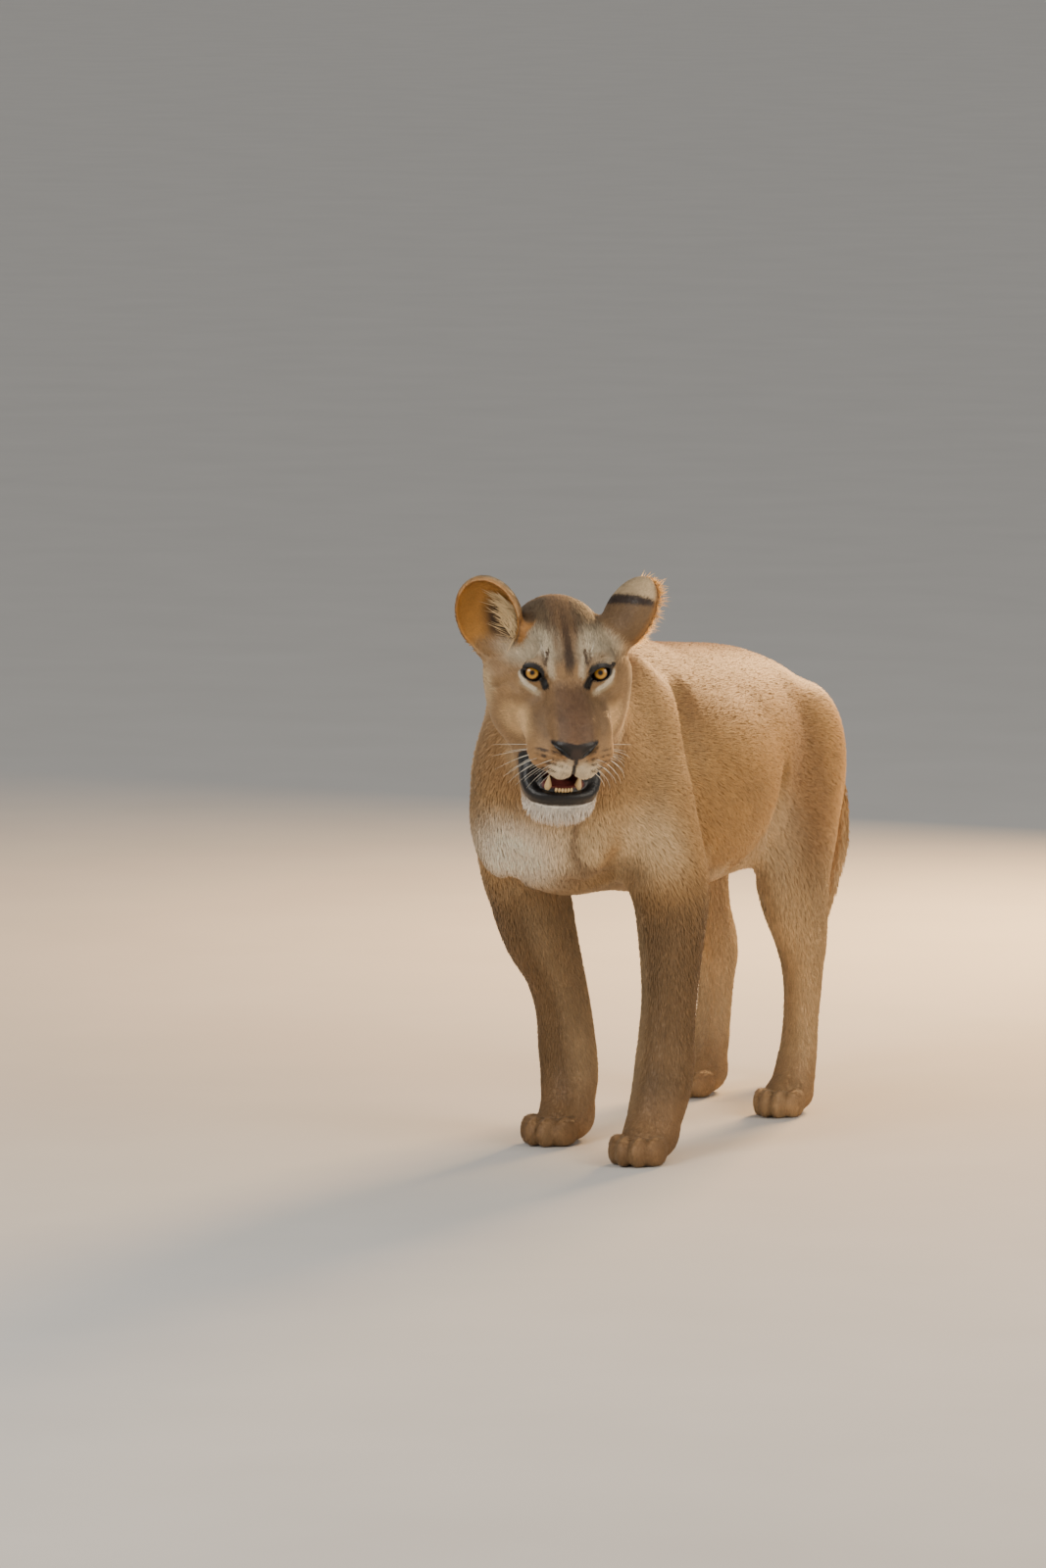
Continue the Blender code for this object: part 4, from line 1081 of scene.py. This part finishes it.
def eye_material():
    mat = bpy.data.materials.new("amber_eye")
    mat.use_nodes = True
    where = node(mat, "TexCoord").outputs["Object"]
    depth = node(mat, "SeparateXYZ", {0: where}).outputs["Z"]
    flat = node(mat, "VectorMath", {0: where, 1: (1, 1, 0)}, operation="MULTIPLY").outputs[0]
    radius = node(mat, "VectorMath", {0: flat}, operation="LENGTH").outputs["Value"]
    way = node(mat, "VectorMath", {0: flat}, operation="NORMALIZE").outputs[0]
    spokes = node(mat, "TexNoise", {"Scale": 9, "Detail": 4, "Vector": way}).outputs["Fac"]
    jitter = node(mat, "Math", {0: spokes, 1: .0020, 2: -.0010}, operation="MULTIPLY_ADD").outputs[0]
    total = node(mat, "Math", {0: radius, 1: jitter}, operation="ADD").outputs[0]
    scaled = node(mat, "Math", {0: total, 1: EYE_RADIUS}, operation="DIVIDE").outputs[0]
    ramp = node(mat, "ValToRGB", {"Fac": scaled})
    rings = ((.0, BLACK * .2), (.150, BLACK * .2), (.20, srgb(88, 56, 14)), (.32, srgb(178, 126, 34)),
             (.47, srgb(186, 136, 44)), (.57, srgb(104, 66, 20)), (.635, BLACK * .5), (.80, BLACK),
             (.95, srgb(80, 66, 54)))
    while len(ramp.color_ramp.elements) < len(rings):
        ramp.color_ramp.elements.new(.5)
    for element, (at, colour) in zip(ramp.color_ramp.elements, rings):
        element.position = at
        element.color = (*colour, 1)
    ahead = node(mat, "Math", {0: depth, 1: 0}, operation="GREATER_THAN").outputs[0]
    white = (*srgb(150, 130, 108), 1)
    mix = node(mat, "Mix", {6: white, "Factor": ahead, 7: ramp.outputs["Color"]}, data_type="RGBA")
    shader = mat.node_tree.nodes["Principled BSDF"]
    for key, value in {"Base Color": mix.outputs[2], "Roughness": .30, "Specular IOR Level": .3,
                       "Coat Weight": .55, "Coat Roughness": .03}.items():
        put(mat, shader.inputs[key], value)
    return mat


def tube(bm, points, radii, sides=8):
    """Closed tapering tube through the points."""
    points = [Vector(p) for p in points]
    rings = []
    for i, (p, r) in enumerate(zip(points, radii)):
        way = (points[min(i + 1, len(points) - 1)] - points[max(i - 1, 0)]).normalized()
        x = way.orthogonal().normalized() if not rings else (x - way * x.dot(way)).normalized()
        y = way.cross(x)
        rings.append([bm.verts.new(p + x * r * math.cos(a) + y * r * math.sin(a))
                      for a in (k * math.tau / sides for k in range(sides))])
    for one, two in zip(rings, rings[1:]):
        for k in range(sides):
            bm.faces.new((one[k], one[(k + 1) % sides], two[(k + 1) % sides], two[k]))
    bm.faces.new(rings[0][::-1])
    bm.faces.new(rings[-1])


def piece(name, bm, look, replaces=()):
    bmesh.ops.recalc_face_normals(bm, faces=bm.faces)
    mesh = mesh_of(name, bm)
    mesh.shade_smooth()
    mesh.materials.append(look)
    obj = linked(name, mesh)
    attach(obj, "root")
    if replaces:
        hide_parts(*replaces)
    return obj


def teeth(shift):
    bm = bmesh.new()
    for s in (1, -1):
        base = np.array((s * .0235, -.080, -.166))
        bend = [base + (s * .0010 * t, -.004 * math.sin(t * 1.4), .028 * t) for t in np.linspace(0, 1, 7)]
        tube(bm, in_head(bend) - shift, [.0066, .0062, .0055, .0046, .0034, .0020, .0006], 14)
    for k in range(6):
        x = (k - 2.5) * .0048
        base = np.array((x, -.0915 + .22 * x * x / .02, -.1645))
        peg = [base, base + (0, -.001, .004), base + (0, -.001, .0072)]
        tube(bm, in_head(peg) - shift, [.0023, .0024, .0015], 8)
    look = material("ivory", srgb(222, 190, 138), .35, bumps=((260, .0003),), mottle=((120, .12),))
    return piece("lower_teeth", bm, look)


def tongue(shift):
    bm = bmesh.new()
    bmesh.ops.create_uvsphere(bm, u_segments=40, v_segments=24, radius=1)
    for v in bm.verts:
        x, y, z = v.co
        groove = -.25 * math.exp(-(x / .22) ** 2) * max(0, z)
        at = (x * .0225 * (1 - .18 * max(0, -y)), -.036 + y * .046,
              -.1465 + (z + groove) * .0085 + .004 * y * y)
        v.co = Vector(in_head(at) - shift)
    look = material("tongue_flesh", srgb(196, 108, 100), .42, bumps=((900, .0006),), mottle=((200, .15),))
    return piece("tongue_flesh", bm, look, ("tongue",))


def whiskers(shift):
    bm = bmesh.new()
    for s in (1, -1):
        for row in range(4):
            for k in range(5):
                root = np.array((s * (.032 + k * .0065) + ASIDE, -.130 + k * .0115,
                                 -.076 - row * .0080 - .001 * k))
                out = np.array((s * (.75 + .1 * random.random()), -.30 + .10 * k,
                                -.10 - .16 * row + .08 * random.random()))
                out /= np.linalg.norm(out)
                length = .030 + .008 * k + .016 * random.random()
                bend = [root + out * length * t + np.array((-.25 * s, .45, -.35)) * length * t * t
                        for t in np.linspace(0, 1, 7)]
                tube(bm, in_head(bend) - shift, np.linspace(.00045, .00012, 7), 4)
    for s in (1, -1):
        for k in range(4):
            root = eye_place(s, (-.012 + .003 * k, -.018, .028 + .002 * k))
            out = np.array((s * .30, -.20, .90)) + random.normal(size=3) * .08
            bend = [root + out * .020 * t + np.array((0, .010, 0)) * t * t for t in np.linspace(0, 1, 5)]
            tube(bm, in_head(bend) - shift, np.linspace(.00025, .0001, 5), 4)
    look = material("whisker", srgb(232, 224, 206), .4, mottle=((300, .08),))
    return piece("whiskers", bm, look)


# ---- stage ----
def stage():
    bm = bmesh.new()
    bmesh.ops.create_grid(bm, x_segments=FLOOR_CELLS, y_segments=FLOOR_CELLS, size=FLOOR_REACH)
    mesh = mesh_of("floor", bm)
    floor = linked("floor", mesh)
    floor.location.z = -FLOOR_DROP
    mesh.materials.append(material("pale_floor", (.62, .60, .57), .85, mottle=((3, .03),)))
    world = bpy.data.worlds.new("studio")
    bpy.context.scene.world = world
    world.use_nodes = True
    world.node_tree.nodes["Background"].inputs["Color"].default_value = (.86, .85, .83, 1)
    world.node_tree.nodes["Background"].inputs["Strength"].default_value = .50


def lamp(name, at, aim, power, size, colour):
    light = bpy.data.lights.new(name, "AREA")
    light.energy, light.size, light.color = power, size, colour
    obj = linked(name, light)
    obj.location = at
    obj.rotation_euler = (Vector(aim) - Vector(at)).to_track_quat("-Z", "Y").to_euler()


def photograph(shift):
    """Camera turned round her from straight ahead and raised, and three soft lamps."""
    turn, rise = math.radians(CAMERA_TURN), math.radians(CAMERA_RISE)
    back = Vector((math.sin(turn) * math.cos(rise), -math.cos(turn) * math.cos(rise), math.sin(rise)))
    right = Vector((math.cos(turn), math.sin(turn), 0))
    aim = Vector(AIM) - Vector(shift)
    camera = linked("camera", bpy.data.cameras.new("camera"))
    camera.location = aim + back * CAMERA_AWAY
    camera.rotation_euler = back.to_track_quat("Z", "Y").to_euler()
    camera.data.sensor_width, camera.data.lens = SENSOR, FOCAL_PIXELS * SENSOR / PHOTO_HEIGHT
    camera.data.clip_end = 200
    bpy.context.scene.camera = camera
    up = Vector((0, 0, 1))
    lamp("key", aim + back * 4.0 - right * 3.0 + up * 2.6, aim, 170, 2.4, (1, .96, .90))
    lamp("fill", aim + back * 2.6 + right * 3.6 + up * 1.6, aim, 110, 2.4, (1, .90, .76))
    lamp("rim", aim - back * 3.4 + right * 1.7 + up * 1.7, aim + up * .1, 330, 1.0, (1, .60, .26))


# ---- assembly ----
shift = in_head(eye_at(1)) - np.mean(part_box("eye_left"), axis=0)
coat_look = material("coat_hair", rough=.62, attribute=True, mottle=((90, .10),), Sheen_Weight=.10,
                     Sheen_Roughness=.45, Sheen_Tint=(1, .86, .66, 1))
skin_look = material("skin", rough=.60, attribute=True, mottle=((400, .14), (60, .08)),
                     bumps=((700, .0003), (160, .0008)))
wet_where_black(skin_look, .60)
skin = linked("skin", skin_mesh())
thin = skin.modifiers.new("thin", "DECIMATE")
thin.ratio = min(1, SKIN_TRIANGLES / len(skin.data.polygons))
bpy.context.view_layer.update()
skin.data = bpy.data.meshes.new_from_object(skin.evaluated_get(bpy.context.evaluated_depsgraph_get()))
skin.modifiers.clear()
skin.data.shade_smooth()
points = array_of(skin.data.vertices, "co", np.float32, 3).astype(float)
normals = array_of(skin.data.vertex_normals, "vector", np.float32, 3).astype(float)
skin.data.calc_loop_triangles()
triangles = array_of(skin.data.loop_triangles, "vertices", np.int32, 3)
paint(skin.data, coat_colour(points, normals))
grow_coat(points, normals, triangles, shift, coat_look)
long_hairs(points, normals, triangles, shift, coat_look)
skin.data.vertices.foreach_set("co", (points - shift).astype(np.float32).ravel())
skin.data.update()
skin.data.materials.append(skin_look)
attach(skin, "root")
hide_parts(*[name for name in frame["nodes"] if name not in ("eye_left", "eye_right", "tongue")])

amber = eye_material()
for side, solid in ((1, "eye_left"), (-1, "eye_right")):
    eye = eyeball(side, shift)
    eye.data.materials.append(amber)
    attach(eye, "root")
    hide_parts(solid)
teeth(shift)
tongue(shift)
whiskers(shift)
stage()
photograph(shift)
